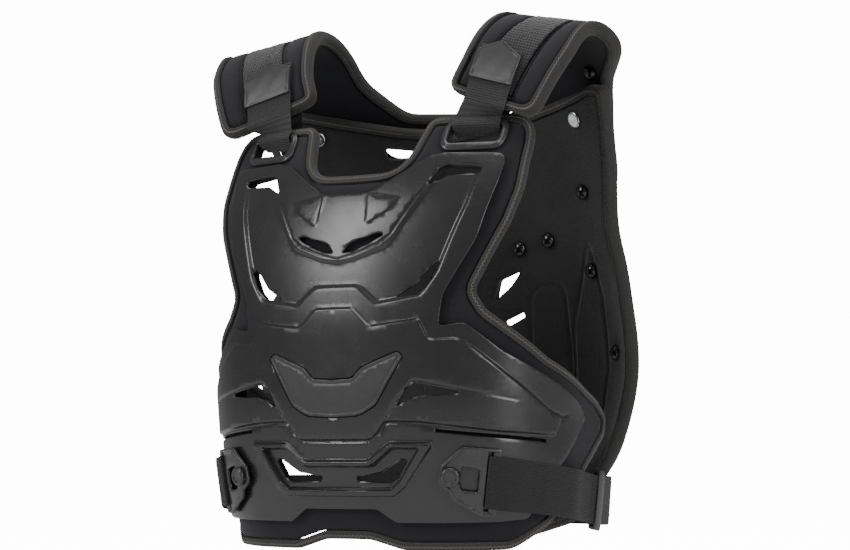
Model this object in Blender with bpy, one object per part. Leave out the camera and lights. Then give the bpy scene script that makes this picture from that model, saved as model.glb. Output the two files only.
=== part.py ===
"""Chest and back guard (roost deflector): soft pads, moulded shells, a shoulder yoke and webbing.

Every panel is cut flat, as a pattern of distance across and drop below the shoulder line, then
wrapped on the form of the torso. Metres, +Z up, the wearer faces -Y, origin under the top of
the shoulder yoke.
"""
import math
from collections import namedtuple

import bmesh
import bpy
from mathutils import Vector
from mathutils.geometry import delaunay_2d_cdt, intersect_point_line

# Torso that the guard is shaped on
torso_height = 0.500      # shoulder line to hem
front_depth = 0.143       # shoulder line to the front of the chest
back_depth = 0.130        # shoulder line to the back of the back pad's inner face
side_radius = 0.110       # bend of the flanks at the waist
front_radius = 0.450      # bend of the chest across its middle
back_radius = 0.600       # bend of the back across its middle
flat_angle = math.radians(12)   # half of the arc that the middle of a section spans

# Flat half widths
front_pad_reach = 0.325
shell_reach = 0.268
back_pad_reach = 0.245
back_shell_reach = 0.205
yoke_reach = 0.220

# Thicknesses, and the standing gap between neighbours
front_pad_thickness = 0.009
back_pad_thickness = 0.012
yoke_thickness = 0.012
channel_depth = 0.003
shell_wall = 0.0025
tape_width = 0.0080
tape_proud = 0.0008
gap = 0.0004
tape_gap = 0.0009
panel_gap = 0.0012      # between two curved panels, whose facets dip between their corners

pad_window_margin = 0.003       # how far the pad's windows stand back from the shell's
back_window_margin = 0.002

# How far the raised parts of the shell stand over its lowest part
border_rise = 0.0025
plate_rise = 0.0055
frame_rise = 0.0035

# Shoulder yoke
yoke_join = 0.124 * torso_height   # drop at which the yoke leaves the back and starts its arch
yoke_front = 0.047        # distance forward of its front leg at that drop
front_lean = 0.29         # how much the front leg leans forward for each unit down
shoulder_slope = 0.29     # fall of the shoulder for each unit outwards
yoke_inner = 0.110        # half distance between the two legs at the top
yoke_twist = 0.14         # how much further forward the front leg stands for each unit outwards

# Webbing, elastic and their fittings
webbing_width = 0.047
webbing_thickness = 0.0018
elastic_width = 0.049
elastic_thickness = 0.0020
ring_bar = 0.007
slot_clearance = 0.0015   # from each edge of the webbing to the end of its slot
ring_width = webbing_width + 2 * (slot_clearance + ring_bar)
ring_height = 0.031
ring_to_yoke = 0.030      # free webbing between the ring and the yoke
slot_round = 0.0045
ring_thickness = 0.003
label_length = 0.034
label_thickness = 0.0015
label_point = 0.006
loop_strip_thickness = 0.0018
button_radius = 0.009
button_head = 0.004
hook_thickness = 0.003
hook_tilt = math.radians(-9.5)
elastic_tuck = 0.016      # how far the elastic's end runs back behind the hook
slider_bar = 0.006
silver_radius = 0.008
silver_height = 0.0016
dome_radius = 0.008
dome_height = 0.006
badge_thickness = 0.0015

# Fineness of the flat patterns
pad_step = 0.034
back_step = 0.024         # across the back panels, which bend more than they do up and down
back_rise = 0.042
shell_step = 0.032
arch_step = 0.023
smallest_round = 0.0026
arc_step = math.radians(45)

Form = namedtuple("Form", "drop depth side")
# drop: share of torso_height. depth: share of front_depth or back_depth. side: share of side_radius
front_form = (
    Form(0.072, 0.300, 3.80),
    Form(0.132, 0.413, 3.80),
    Form(0.232, 0.629, 3.60),
    Form(0.276, 0.720, 3.50),
    Form(0.352, 0.846, 3.25),
    Form(0.432, 0.923, 2.55),
    Form(0.552, 0.979, 1.55),
    Form(0.632, 0.993, 1.18),
    Form(0.732, 1.000, 1.04),
    Form(0.872, 0.965, 1.00),
    Form(1.000, 0.888, 0.88),
)
back_form = (
    Form(0.072, 0.500, 1.50),
    Form(0.178, 0.669, 1.25),
    Form(0.272, 0.808, 1.10),
    Form(0.472, 0.962, 0.92),
    Form(0.672, 1.000, 1.04),
    Form(0.872, 0.900, 0.62),
    Form(1.000, 0.800, 0.52),
)

Corner = namedtuple("Corner", "across drop round")
# Half outlines from the middle at the top to the middle at the bottom.
# across: share of the piece's own reach. drop and round: shares of torso_height
front_pad_outline = (
    Corner(0.000, 0.288, 0), Corner(0.155, 0.286, 0.090), Corner(0.198, 0.180, 0.030),
    Corner(0.530, 0.180, 0.064), Corner(0.535, 0.330, 0.100), Corner(0.512, 0.390, 0.100),
    Corner(0.418, 0.517, 0.022), Corner(0.452, 0.552, 0.030), Corner(0.650, 0.644, 0.080),
    Corner(0.930, 0.722, 0.080), Corner(1.000, 0.756, 0.036), Corner(0.985, 0.796, 0.036),
    Corner(0.640, 0.956, 0.040), Corner(0.500, 0.998, 0.060), Corner(0.180, 0.998, 0.060),
    Corner(0.075, 0.978, 0.060), Corner(0.000, 0.978, 0),
)
shell_outline = (
    Corner(0.000, 0.332, 0), Corner(0.095, 0.332, 0.060), Corner(0.290, 0.266, 0.020),
    Corner(0.345, 0.261, 0.030), Corner(0.571, 0.266, 0.026), Corner(0.560, 0.318, 0.040),
    Corner(0.510, 0.424, 0.100), Corner(0.402, 0.524, 0.060), Corner(0.389, 0.583, 0.008),
    Corner(0.478, 0.576, 0.026), Corner(0.600, 0.628, 0.040), Corner(0.963, 0.732, 0.040),
    Corner(1.000, 0.758, 0.014), Corner(0.815, 0.846, 0.040), Corner(0.664, 0.938, 0.024),
    Corner(0.560, 0.942, 0.040), Corner(0.212, 0.942, 0.016), Corner(0.142, 0.917, 0.016),
    Corner(0.000, 0.917, 0),
)
back_pad_outline = (
    Corner(0.000, 0.180, 0), Corner(0.260, 0.164, 0.060), Corner(0.510, 0.140, 0.040),
    Corner(0.720, 0.118, 0.040), Corner(0.840, 0.124, 0.056), Corner(0.830, 0.190, 0.040),
    Corner(0.750, 0.400, 0.120), Corner(0.920, 0.520, 0.080), Corner(1.000, 0.640, 0.080),
    Corner(0.930, 0.740, 0.080), Corner(0.800, 0.810, 0.060), Corner(0.630, 0.880, 0.060),
    Corner(0.500, 0.965, 0.060), Corner(0.300, 0.994, 0.060), Corner(0.000, 0.994, 0),
)
back_shell_outline = (
    Corner(0.000, 0.236, 0), Corner(0.420, 0.236, 0.040), Corner(0.640, 0.136, 0.024),
    Corner(0.840, 0.142, 0.040), Corner(0.780, 0.420, 0.080), Corner(0.960, 0.620, 0.080),
    Corner(0.880, 0.740, 0.060), Corner(0.700, 0.820, 0.060), Corner(0.580, 0.880, 0.050),
    Corner(0.500, 0.945, 0.040), Corner(0.000, 0.955, 0),
)
# Parts of the shell at their own height
chest_recess = (
    Corner(0.000, 0.452, 0), Corner(0.060, 0.448, 0.020), Corner(0.180, 0.426, 0.020),
    Corner(0.216, 0.400, 0.024), Corner(0.330, 0.302, 0.010), Corner(0.366, 0.281, 0.012),
    Corner(0.496, 0.286, 0.012), Corner(0.474, 0.356, 0.080), Corner(0.388, 0.486, 0.050),
    Corner(0.330, 0.530, 0.026), Corner(0.160, 0.544, 0.020), Corner(0.082, 0.510, 0.020),
    Corner(0.000, 0.510, 0),
)
belly_plate = (
    Corner(0.000, 0.543, 0), Corner(0.075, 0.543, 0.018), Corner(0.142, 0.577, 0.018),
    Corner(0.326, 0.566, 0.010), Corner(0.362, 0.605, 0.012), Corner(0.450, 0.602, 0.024),
    Corner(0.504, 0.618, 0.014), Corner(0.776, 0.738, 0.040), Corner(0.838, 0.751, 0.010),
    Corner(0.795, 0.789, 0.008), Corner(0.586, 0.779, 0), Corner(0.325, 0.759, 0.020),
    Corner(0.200, 0.757, 0.012), Corner(0.150, 0.791, 0.014), Corner(0.000, 0.791, 0),
)
lower_frame = (
    Corner(0.000, 0.824, 0), Corner(0.127, 0.824, 0.018), Corner(0.208, 0.792, 0.018),
    Corner(0.364, 0.792, 0.006), Corner(0.364, 0.804, 0.006), Corner(0.262, 0.877, 0.018),
    Corner(0.217, 0.895, 0.018), Corner(0.000, 0.895, 0),
)
lower_recess = (
    Corner(0.000, 0.835, 0), Corner(0.135, 0.835, 0.018), Corner(0.215, 0.802, 0.018),
    Corner(0.325, 0.802, 0.006), Corner(0.245, 0.866, 0.018), Corner(0.208, 0.882, 0.014),
    Corner(0.000, 0.882, 0),
)
badge_outline = (
    Corner(0.000, 0.676, 0), Corner(0.075, 0.674, 0.014), Corner(0.112, 0.654, 0.014),
    Corner(0.247, 0.625, 0.010), Corner(0.274, 0.636, 0.010), Corner(0.170, 0.727, 0.024),
    Corner(0.105, 0.746, 0.040), Corner(0.000, 0.749, 0),
)
# Windows on the wearer's left, each mirrored to the right
top_window = (
    Corner(0.305, 0.322, 0.003), Corner(0.337, 0.291, 0.006), Corner(0.366, 0.283, 0.006),
    Corner(0.489, 0.291, 0.004), Corner(0.489, 0.301, 0.004), Corner(0.375, 0.303, 0.010),
)
crescent_window = (
    Corner(0.226, 0.528, 0.003), Corner(0.308, 0.503, 0.024), Corner(0.345, 0.478, 0.016),
    Corner(0.378, 0.463, 0.003), Corner(0.386, 0.470, 0.003), Corner(0.352, 0.504, 0.020),
    Corner(0.310, 0.523, 0.012),
)
eye_window = (
    Corner(0.018, 0.442, 0.002), Corner(0.046, 0.424, 0.006), Corner(0.112, 0.414, 0.012),
    Corner(0.164, 0.407, 0.002), Corner(0.172, 0.412, 0.002), Corner(0.120, 0.427, 0.016),
    Corner(0.060, 0.440, 0.006),
)
side_window = (
    Corner(0.239, 0.730, 0.003), Corner(0.278, 0.694, 0.006), Corner(0.315, 0.686, 0.008),
    Corner(0.456, 0.701, 0.002), Corner(0.456, 0.707, 0.002), Corner(0.330, 0.709, 0.016),
    Corner(0.285, 0.715, 0.012),
)
lower_window = (
    Corner(0.078, 0.866, 0.004), Corner(0.068, 0.858, 0.004), Corner(0.168, 0.850, 0.016),
    Corner(0.243, 0.826, 0.004), Corner(0.267, 0.826, 0.004), Corner(0.232, 0.858, 0.012),
    Corner(0.205, 0.868, 0.008),
)
belt_slit = (
    Corner(0.375, 0.770, 0), Corner(0.760, 0.794, 0), Corner(0.760, 0.799, 0),
    Corner(0.375, 0.775, 0),
)
back_windows = (
    (Corner(0.205, 0.210, 0.010), Corner(0.340, 0.202, 0.014), Corner(0.345, 0.226, 0.014),
     Corner(0.215, 0.228, 0.010)),
    (Corner(0.085, 0.524, 0.004), Corner(0.110, 0.482, 0.020), Corner(0.230, 0.462, 0.004),
     Corner(0.175, 0.492, 0.020)),
    (Corner(0.115, 0.566, 0.003), Corner(0.225, 0.545, 0.003), Corner(0.235, 0.556, 0.003),
     Corner(0.150, 0.575, 0.003)),
)

YokeCorner = namedtuple("YokeCorner", "across run round")
# across: share of yoke_reach. run: share of the arch's length, up from its rear foot and forward.
# round: share of torso_height
yoke_outline = (
    YokeCorner(0.000, -0.080, 0), YokeCorner(0.260, -0.060, 0.060),
    YokeCorner(0.430, 0.120, 0.060), YokeCorner(0.460, 0.480, 0.100),
    YokeCorner(0.385, 0.900, 0.100), YokeCorner(0.330, 1.090, 0.036),
    YokeCorner(0.780, 1.130, 0.050), YokeCorner(0.930, 0.700, 0.100),
    YokeCorner(0.970, 0.420, 0.100), YokeCorner(1.030, 0.200, 0.080),
    YokeCorner(0.860, 0.000, 0.060), YokeCorner(0.780, -0.370, 0.040),
    YokeCorner(0.560, -0.370, 0.040), YokeCorner(0.420, -0.190, 0.040),
    YokeCorner(0.000, -0.190, 0),
)
yoke_channel = (
    YokeCorner(0.606, 0.260, 0), YokeCorner(0.606, 0.520, 0.080), YokeCorner(0.448, 1.040, 0),
    YokeCorner(0.674, 1.060, 0), YokeCorner(0.832, 0.520, 0.080), YokeCorner(0.832, 0.260, 0),
)

yoke_rivet = YokeCorner(0.790, 0.080, 0)

Spot = namedtuple("Spot", "across drop")
# across: share of the reach of the piece they sit on
ring_spot = Spot(0.352, 0.223)
button_spot = Spot(0.420, 0.856)
silver_spot = Spot(0.620, 0.175)
dome_spots = (
    Spot(0.600, 0.314), Spot(0.241, 0.418), Spot(0.388, 0.404), Spot(0.608, 0.470),
    Spot(0.765, 0.634),
)

HookCorner = namedtuple("HookCorner", "along up round")
# Shares of the strap's width, from the button's centre
hook_outline = (
    HookCorner(-0.20, 0.16, 0.14), HookCorner(0.02, 0.44, 0.08), HookCorner(0.14, 0.58, 0.08),
    HookCorner(0.82, 0.62, 0.04), HookCorner(0.82, -0.62, 0.04), HookCorner(0.56, -0.66, 0.06),
    HookCorner(0.36, -0.56, 0.06), HookCorner(0.06, -0.42, 0.06), HookCorner(0.00, -0.28, 0.04),
    HookCorner(-0.20, -0.16, 0.14),
)
keyhole = (
    HookCorner(-0.10, 0.10, 0.04), HookCorner(0.16, 0.11, 0), HookCorner(0.17, 0.22, 0.03),
    HookCorner(0.48, 0.20, 0.05), HookCorner(0.48, -0.22, 0.05), HookCorner(0.20, -0.22, 0.05),
    HookCorner(0.16, -0.11, 0), HookCorner(-0.10, -0.10, 0.04),
)
strap_slot = (
    HookCorner(0.60, 0.54, 0), HookCorner(0.68, 0.54, 0), HookCorner(0.68, -0.54, 0),
    HookCorner(0.60, -0.54, 0),
)
# The elastic's run round the flank, as flat distances. On the front it comes down off the hook, to
# a share of its height there. On the back it lies flat
Station = namedtuple("Station", "across stand")
elastic_front = (
    Station(0.150, 1.00), Station(0.162, 1.00), Station(0.186, 0.65), Station(0.205, 0.60),
    Station(0.235, 0.60), Station(0.255, 0.42), Station(0.275, 0.31), Station(0.295, 0.31),
)
elastic_back = (0.152, 0.137, 0.120, 0.102, 0.084)
slider_across = 0.290


def clear_scene():
    for item in list(bpy.data.objects):
        bpy.data.objects.remove(item, do_unlink=True)


def new_material(name, colour, roughness, metallic=0.0):
    material = bpy.data.materials.new(name)
    material.use_nodes = True
    shader = material.node_tree.nodes["Principled BSDF"]
    shader.inputs["Base Color"].default_value = (*colour, 1)
    shader.inputs["Roughness"].default_value = roughness
    shader.inputs["Metallic"].default_value = metallic
    return material


def add_object(name, mesh_maker, material):
    """Turns a bmesh into a named object with outward faces."""
    bmesh.ops.recalc_face_normals(mesh_maker, faces=mesh_maker.faces)
    if mesh_maker.calc_volume(signed=True) < 0:
        bmesh.ops.reverse_faces(mesh_maker, faces=mesh_maker.faces)
    mesh = bpy.data.meshes.new(name)
    mesh_maker.to_mesh(mesh)
    mesh_maker.free()
    mesh.shade_smooth()
    mesh.set_sharp_from_angle(angle=math.radians(30))
    mesh.materials.append(material)
    item = bpy.data.objects.new(name, mesh)
    bpy.context.scene.collection.objects.link(item)
    return item


def read_form(rows, depth, height):
    """Depth and side radius of the torso at a height, on a smooth curve through the rows."""
    drop = min(max(-height / torso_height, rows[0].drop), rows[-1].drop)
    upper = next(i for i in range(len(rows) - 1) if drop <= rows[i + 1].drop)
    before, first = rows[max(upper - 1, 0)], rows[upper]
    second, after = rows[upper + 1], rows[min(upper + 2, len(rows) - 1)]
    span = second.drop - first.drop
    share = (drop - first.drop) / span
    found = []
    for field in ("depth", "side"):
        start = (getattr(second, field) - getattr(before, field)) / (second.drop - before.drop)
        end = (getattr(after, field) - getattr(first, field)) / (after.drop - first.drop)
        value = (2 * share**3 - 3 * share**2 + 1) * getattr(first, field)
        value += (share**3 - 2 * share**2 + share) * span * start
        value += (3 * share**2 - 2 * share**3) * getattr(second, field)
        value += (share**3 - share**2) * span * end
        found.append(value)
    return found[0] * depth, found[1] * side_radius


def section_point(across, depth, side, middle):
    """A point of a level section: a wide arc, a tighter side arc, then a straight side."""
    length = abs(across)
    middle_length = middle * flat_angle
    if length <= middle_length:
        turn = length / middle
        out = middle * math.sin(turn)
        back = middle * (1 - math.cos(turn))
    else:
        turn = min(flat_angle + (length - middle_length) / side, math.pi / 2)
        straight = max(0, length - middle_length - side * (math.pi / 2 - flat_angle))
        out = middle * math.sin(flat_angle) + side * (math.sin(turn) - math.sin(flat_angle))
        back = middle * (1 - math.cos(flat_angle)) + straight
        back += side * (math.cos(flat_angle) - math.cos(turn))
    return math.copysign(out, across), depth - back


def wrapped(place, across, up, proud):
    """A point standing proud of a surface, along its normal."""
    nudge = 0.0005
    base = place(across, up)
    along = place(across + nudge, up) - place(across - nudge, up)
    rise = place(across, up + nudge) - place(across, up - nudge)
    return base + along.cross(rise).normalized() * proud


def front_place(across, height):
    depth, side = read_form(front_form, front_depth, height)
    out, back = section_point(across, depth, side, front_radius)
    return Vector((out, -back, height))


def back_place(across, height):
    depth, side = read_form(back_form, back_depth, height)
    out, back = section_point(-across, depth, side, back_radius)
    return Vector((out, back, height))


def on_front(across, height, proud):
    return wrapped(front_place, across, height, proud)


def on_back(across, height, proud):
    """Across is positive on the wearer's left, proud is away from the wearer."""
    return wrapped(back_place, -across, height, proud)


yoke_layer = back_pad_thickness + tape_proud + panel_gap


def arch_controls(across):
    """The four control points of the yoke's arch over the shoulder, in one column."""
    foot = on_back(across, -yoke_join, yoke_layer)
    lower = on_back(across, -yoke_join - 0.002, yoke_layer)
    rear_up = (foot - lower).normalized()
    front_up = Vector((0, front_lean, 1)).normalized()
    handle = yoke_join / (0.375 * (rear_up.z + front_up.z))
    fall = shoulder_slope * max(abs(across) - yoke_inner, -yoke_inner / 2)
    ahead = yoke_front + yoke_twist * (abs(across) - yoke_inner)
    front_foot = Vector((foot.x, -ahead, -yoke_join - fall))
    middle_fall = Vector((0, 0, -fall / 2))
    return foot, foot + rear_up * handle + middle_fall, front_foot + front_up * handle, front_foot


def bezier(controls, share):
    a, b, c, d = controls
    rest = 1 - share
    return a * rest**3 + b * 3 * share * rest**2 + c * 3 * share**2 * rest + d * share**3


def lengths_along(controls, steps=40):
    """Length of the curve up to each of its steps."""
    points = [bezier(controls, i / steps) for i in range(steps + 1)]
    lengths = [0]
    for a, b in zip(points, points[1:]):
        lengths.append(lengths[-1] + (b - a).length)
    return lengths


arch_lengths = lengths_along(arch_controls((yoke_inner + yoke_reach) / 2))
arch_length = arch_lengths[-1]


def arch_share(run):
    """The curve's own measure at a length along it."""
    upper = next(i for i, length in enumerate(arch_lengths[1:], 1) if length >= run)
    low, high = arch_lengths[upper - 1], arch_lengths[upper]
    return (upper - 1 + (run - low) / (high - low)) / (len(arch_lengths) - 1)


def yoke_place(across, run):
    """The yoke's underside. Run is 0 at the rear foot of the arch and grows forward over it."""
    if run <= 0:
        return on_back(across, -yoke_join + run, yoke_layer)
    controls = arch_controls(across)
    if run <= arch_length:
        return bezier(controls, arch_share(run))
    down = Vector((0, -front_lean, -1)).normalized()
    return controls[3] + down * (run - arch_length)


def on_yoke(across, run, proud):
    """Proud is away from the wearer."""
    return wrapped(lambda a, b: yoke_place(-a, b), -across, run, proud)


def round_corners(corners, longest):
    """A closed outline with an arc at each corner that has a radius, and no side over a length."""
    points = []
    count = len(corners)
    for i, (x, y, radius) in enumerate(corners):
        here = Vector((x, y))
        if radius < smallest_round:
            points.append(here)
            continue
        before = Vector(corners[i - 1][:2]) - here
        after = Vector(corners[(i + 1) % count][:2]) - here
        half = before.angle(after) / 2
        reach = min(radius / math.tan(half), 0.45 * before.length, 0.45 * after.length)
        steps = max(1, math.ceil((math.pi - 2 * half) / arc_step))
        start = here + before.normalized() * reach
        end = here + after.normalized() * reach
        for step in range(steps + 1):
            share = step / steps
            points.append(start.lerp(here, share).lerp(here.lerp(end, share), share))
    return split_sides(points, longest)


def split_sides(points, longest):
    """The outline with its long sides divided, so that they bend with the torso."""
    divided = []
    for here, following in zip(points, points[1:] + points[:1]):
        pieces = max(1, math.ceil((following - here).length / longest))
        divided += [here.lerp(following, piece / pieces) for piece in range(pieces)]
    return divided


def half_outline(rows, reach):
    """Both halves of an outline given from the middle at the top to the middle at the bottom."""
    right = [(row.across * reach, -row.drop * torso_height, row.round * torso_height) for row in rows]
    left = [(-x, y, radius) for x, y, radius in reversed(right) if x > 0]
    return round_corners(right + left, pad_step)


def yoke_loop(rows, mirrored):
    right = [(row.across * yoke_reach, row.run * arch_length, row.round * torso_height)
             for row in rows]
    left = [(-x, y, radius) for x, y, radius in reversed(right) if x > 0]
    return round_corners(right + left if mirrored else right, arch_step)


def window_pair(rows, reach):
    right = [(row.across * reach, -row.drop * torso_height, row.round * torso_height) for row in rows]
    left = [(-x, y, radius) for x, y, radius in reversed(right)]
    return [round_corners(right, shell_step), round_corners(left, shell_step)]


def signed_area(loop):
    return sum(a.x * b.y - b.x * a.y for a, b in zip(loop, loop[1:] + loop[:1])) / 2


def inset(loop, distance):
    """The outline moved inwards, or outwards for a negative distance."""
    turn = 1 if signed_area(loop) > 0 else -1
    moved = []
    for i, here in enumerate(loop):
        before = (here - loop[i - 1]).normalized()
        after = (loop[(i + 1) % len(loop)] - here).normalized()
        inward = Vector((-(before.y + after.y), before.x + after.x)).normalized() * turn
        slant = max(0.5, inward.dot(Vector((-before.y, before.x)) * turn))
        moved.append(here + inward * (distance / slant))
    return moved


def inside(loop, point):
    """Whether a point is inside a closed outline."""
    crossings = 0
    for a, b in zip(loop, loop[1:] + loop[:1]):
        if (a.y > point.y) != (b.y > point.y):
            if point.x < a.x + (point.y - a.y) * (b.x - a.x) / (b.y - a.y):
                crossings += 1
    return crossings % 2 == 1


def distance_to(loop, point):
    """Distance from a point to the nearest side of an outline."""
    nearest = math.inf
    for a, b in zip(loop, loop[1:] + loop[:1]):
        foot, share = intersect_point_line(point, a, b)
        foot = Vector(foot[:2]) if 0 <= share <= 1 else (a if share < 0 else b)
        nearest = min(nearest, (point - foot).length)
    return nearest


def within(loop, distance):
    """The line a distance inside an outline, without the loops that tight corners would make."""
    line = [point for point in inset(loop, distance) if distance_to(loop, point) > 0.98 * distance]
    return [point for i, point in enumerate(line) if (point - line[i - 1]).length > smallest_round / 4]


def flat_pattern(outline, holes, lines, step, rise=None):
    """A triangulated sheet with the outline, the holes cut out and edges along the lines.
    Its inner corners stand a step apart across, and a rise apart up where that differs."""
    rise = rise or step
    loops = [outline] + holes + lines
    points = [point for loop in loops for point in loop]
    edges = []
    start = 0
    for loop in loops:
        edges += [(start + i, start + (i + 1) % len(loop)) for i in range(len(loop))]
        start += len(loop)
    columns = math.ceil(max(abs(p.x) for p in outline) / step)
    low = min(p.y for p in outline)
    rows = math.ceil((max(p.y for p in outline) - low) / rise)
    for column in range(-columns, columns + 1):
        for row in range(rows + 1):
            point = Vector((column * step, low + (row + 0.5 * (column % 2)) * rise))
            if not inside(outline, point) or any(inside(hole, point) for hole in holes):
                continue
            if min(distance_to(loop, point) for loop in loops) > 0.4 * step:
                points.append(point)
    rim = [list(range(len(outline)))]
    spots, _, faces, *_ = delaunay_2d_cdt(points, edges, rim, 1, 1e-6)
    sheet = bmesh.new()
    corners = [sheet.verts.new((spot.x, spot.y, 0)) for spot in spots]
    for face in faces:
        middle = sum((spots[i] for i in face), Vector((0, 0))) / len(face)
        if not any(inside(hole, middle) for hole in holes):
            sheet.faces.new([corners[i] for i in face])
    bmesh.ops.delete(sheet, geom=[v for v in sheet.verts if not v.link_faces], context="VERTS")
    return sheet


def thicken_and_wrap(sheet, place, inner, outer):
    """Makes the sheet a closed panel on a surface. Inner and outer give each point's standing."""
    made = bmesh.ops.extrude_face_region(sheet, geom=sheet.faces[:], use_keep_orig=True)
    raised = {item for item in made["geom"] if isinstance(item, bmesh.types.BMVert)}
    for corner in sheet.verts:
        flat = Vector(corner.co.xy)
        proud = outer(flat) if corner in raised else inner(flat)
        corner.co = place(flat.x, flat.y, proud)
    return sheet


def tape_ring(loop, place, section):
    """A tape round an edge: section gives how far in from the edge and how proud each line runs."""
    ring = bmesh.new()
    lines = []
    for inward, proud in section:
        line = inset(loop, inward)
        lines.append([ring.verts.new(place(point.x, point.y, proud)) for point in line])
    count = len(loop)
    for line, following in zip(lines, lines[1:] + lines[:1]):
        for i in range(count):
            j = (i + 1) % count
            ring.faces.new((line[i], line[j], following[j], following[i]))
    return ring


def edge_section(inner, outer):
    """Four lines round a pad's edge, from its inner face to its outer one."""
    low = inner - tape_proud
    high = outer + tape_proud
    bevel = 3 * tape_proud
    return (tape_width, low), (0, low + bevel), (0, high - bevel), (tape_width, high)


def ramp(distance, width):
    return min(1, max(0, distance / width))


def rise_within(loop, width):
    """How far a point is up the chamfer of a raised or sunk area: 0 outside, 1 well inside."""
    def share(point):
        return ramp(distance_to(loop, point), width) if inside(loop, point) else 0
    return share


shell_floor = panel_gap + shell_wall     # outer face of the shell where it is lowest
frame_chamfer = 0.006
plate_chamfer = 0.003
badge_chamfer = 0.001


def shell_heights():
    """The loops that shape the shell, and its outer face's standing over the pad."""
    recess = half_outline(chest_recess, shell_reach)
    plate = half_outline(belly_plate, shell_reach)
    frame = half_outline(lower_frame, shell_reach)
    lower = half_outline(lower_recess, shell_reach)
    badge = half_outline(badge_outline, shell_reach)
    sunk = rise_within(recess, frame_chamfer)
    raised = rise_within(plate, plate_chamfer)
    framed = rise_within(frame, plate_chamfer)
    lowered = rise_within(lower, plate_chamfer)
    badged = rise_within(badge, badge_chamfer)

    def standing(point):
        rise = border_rise * (1 - sunk(point)) + (plate_rise - border_rise) * raised(point)
        rise += frame_rise * framed(point) - (frame_rise + border_rise) * lowered(point)
        return shell_floor + rise - badge_thickness * badged(point)

    lines = [recess, inset(recess, frame_chamfer), plate, inset(plate, plate_chamfer)]
    lines += [frame, lower, inset(lower, plate_chamfer), badge, inset(badge, badge_chamfer)]
    return lines, standing


def make_front_shell(material):
    holes = []
    for window in (top_window, crescent_window, eye_window, side_window, lower_window, belt_slit):
        holes += window_pair(window, shell_reach)
    lines, standing = shell_heights()
    sheet = flat_pattern(half_outline(shell_outline, shell_reach), holes, lines, shell_step)
    panel = thicken_and_wrap(sheet, on_front, lambda p: standing(p) - shell_wall, standing)
    return add_object("front_shell", panel, material)


def make_badge(material):
    """A plain plate in the shell's V-shaped recess, level with its rim."""
    outline = inset(half_outline(badge_outline, shell_reach), badge_chamfer + gap)
    sheet = flat_pattern(outline, [], [], shell_step)
    floor = shell_floor + plate_rise - badge_thickness + gap
    panel = thicken_and_wrap(sheet, on_front, lambda p: floor, lambda p: floor + badge_thickness)
    return add_object("badge_plate", panel, material)


def slot_loop(centre, width, height, radius):
    half_width, half_height = width / 2, height / 2
    corners = ((1, -1), (1, 1), (-1, 1), (-1, -1))
    return round_corners(
        [(centre.x + x * half_width, centre.y + y * half_height, radius) for x, y in corners], width)


ring_floor = tape_proud + gap


def ring_centre(side):
    return Vector((side * ring_spot.across * front_pad_reach, -ring_spot.drop * torso_height))


def ring_slot(side):
    return slot_loop(
        ring_centre(side), ring_width - 2 * ring_bar, ring_height - 2 * ring_bar, slot_round)


def make_front_pad(fabric, tape):
    outline = half_outline(front_pad_outline, front_pad_reach)
    holes = []
    for window in (top_window, crescent_window, side_window, lower_window):
        holes += [inset(loop, -pad_window_margin) for loop in window_pair(window, shell_reach)]
    holes += [ring_slot(side) for side in (1, -1)]
    sheet = flat_pattern(within(outline, tape_width + tape_gap), holes, [], pad_step)
    panel = thicken_and_wrap(sheet, on_front, lambda p: -front_pad_thickness, lambda p: 0)
    add_object("front_pad", panel, fabric)
    ring = tape_ring(outline, on_front, edge_section(-front_pad_thickness, 0))
    add_object("front_pad_binding", ring, tape)


def make_back_pad(fabric, tape):
    outline = half_outline(back_pad_outline, back_pad_reach)
    holes = [loop for window in back_windows for loop in window_pair(window, back_pad_reach)]
    sheet = flat_pattern(within(outline, tape_width + tape_gap), holes, [], back_step, back_rise)
    panel = thicken_and_wrap(sheet, on_back, lambda p: 0, lambda p: back_pad_thickness)
    add_object("back_pad", panel, fabric)
    ring = tape_ring(outline, on_back, edge_section(0, back_pad_thickness))
    add_object("back_pad_binding", ring, tape)


def back_shell_floor(point):
    """The back shell's inner face: on the pad, and further out over the yoke at its top."""
    drop = -point.y / torso_height
    over_yoke = ramp(0.40 - drop, 0.12)
    smooth = over_yoke * over_yoke * (3 - 2 * over_yoke)
    return yoke_layer + smooth * (yoke_thickness + tape_proud + panel_gap)


def make_back_shell(material):
    outline = half_outline(back_shell_outline, back_shell_reach)
    holes = []
    for window in back_windows[1:]:
        holes += [inset(loop, -back_window_margin) for loop in window_pair(window, back_pad_reach)]
    sheet = flat_pattern(outline, holes, [], back_step, back_rise)
    panel = thicken_and_wrap(
        sheet, on_back, back_shell_floor, lambda p: back_shell_floor(p) + shell_wall)
    return add_object("back_shell", panel, material)


def make_yoke(fabric, tape):
    outline = yoke_loop(yoke_outline, mirrored=True)
    channel = yoke_loop(yoke_channel, mirrored=False)
    channels = [channel, [Vector((-p.x, p.y)) for p in reversed(channel)]]
    ramps = [rise_within(loop, channel_depth) for loop in channels]

    def outer(point):
        return yoke_thickness - channel_depth * max(sunk(point) for sunk in ramps)

    lines = channels + [inset(loop, channel_depth) for loop in channels]
    sheet = flat_pattern(within(outline, tape_width + tape_gap), [], lines, arch_step)
    panel = thicken_and_wrap(sheet, on_yoke, lambda p: 0, outer)
    add_object("shoulder_yoke", panel, fabric)
    ring = tape_ring(outline, on_yoke, edge_section(0, yoke_thickness))
    add_object("shoulder_yoke_binding", ring, tape)


belt_top = shell_floor + border_rise
elastic_layer = elastic_thickness + panel_gap + gap
hook_floor = belt_top + elastic_layer
hook_top = hook_floor + hook_thickness
elastic_outer = hook_top + 2 * gap + elastic_thickness / 2
slider_stand = elastic_front[-1].stand * elastic_outer


def spot_on(spot, reach, side):
    return Vector((side * spot.across * reach, -spot.drop * torso_height))


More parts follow.
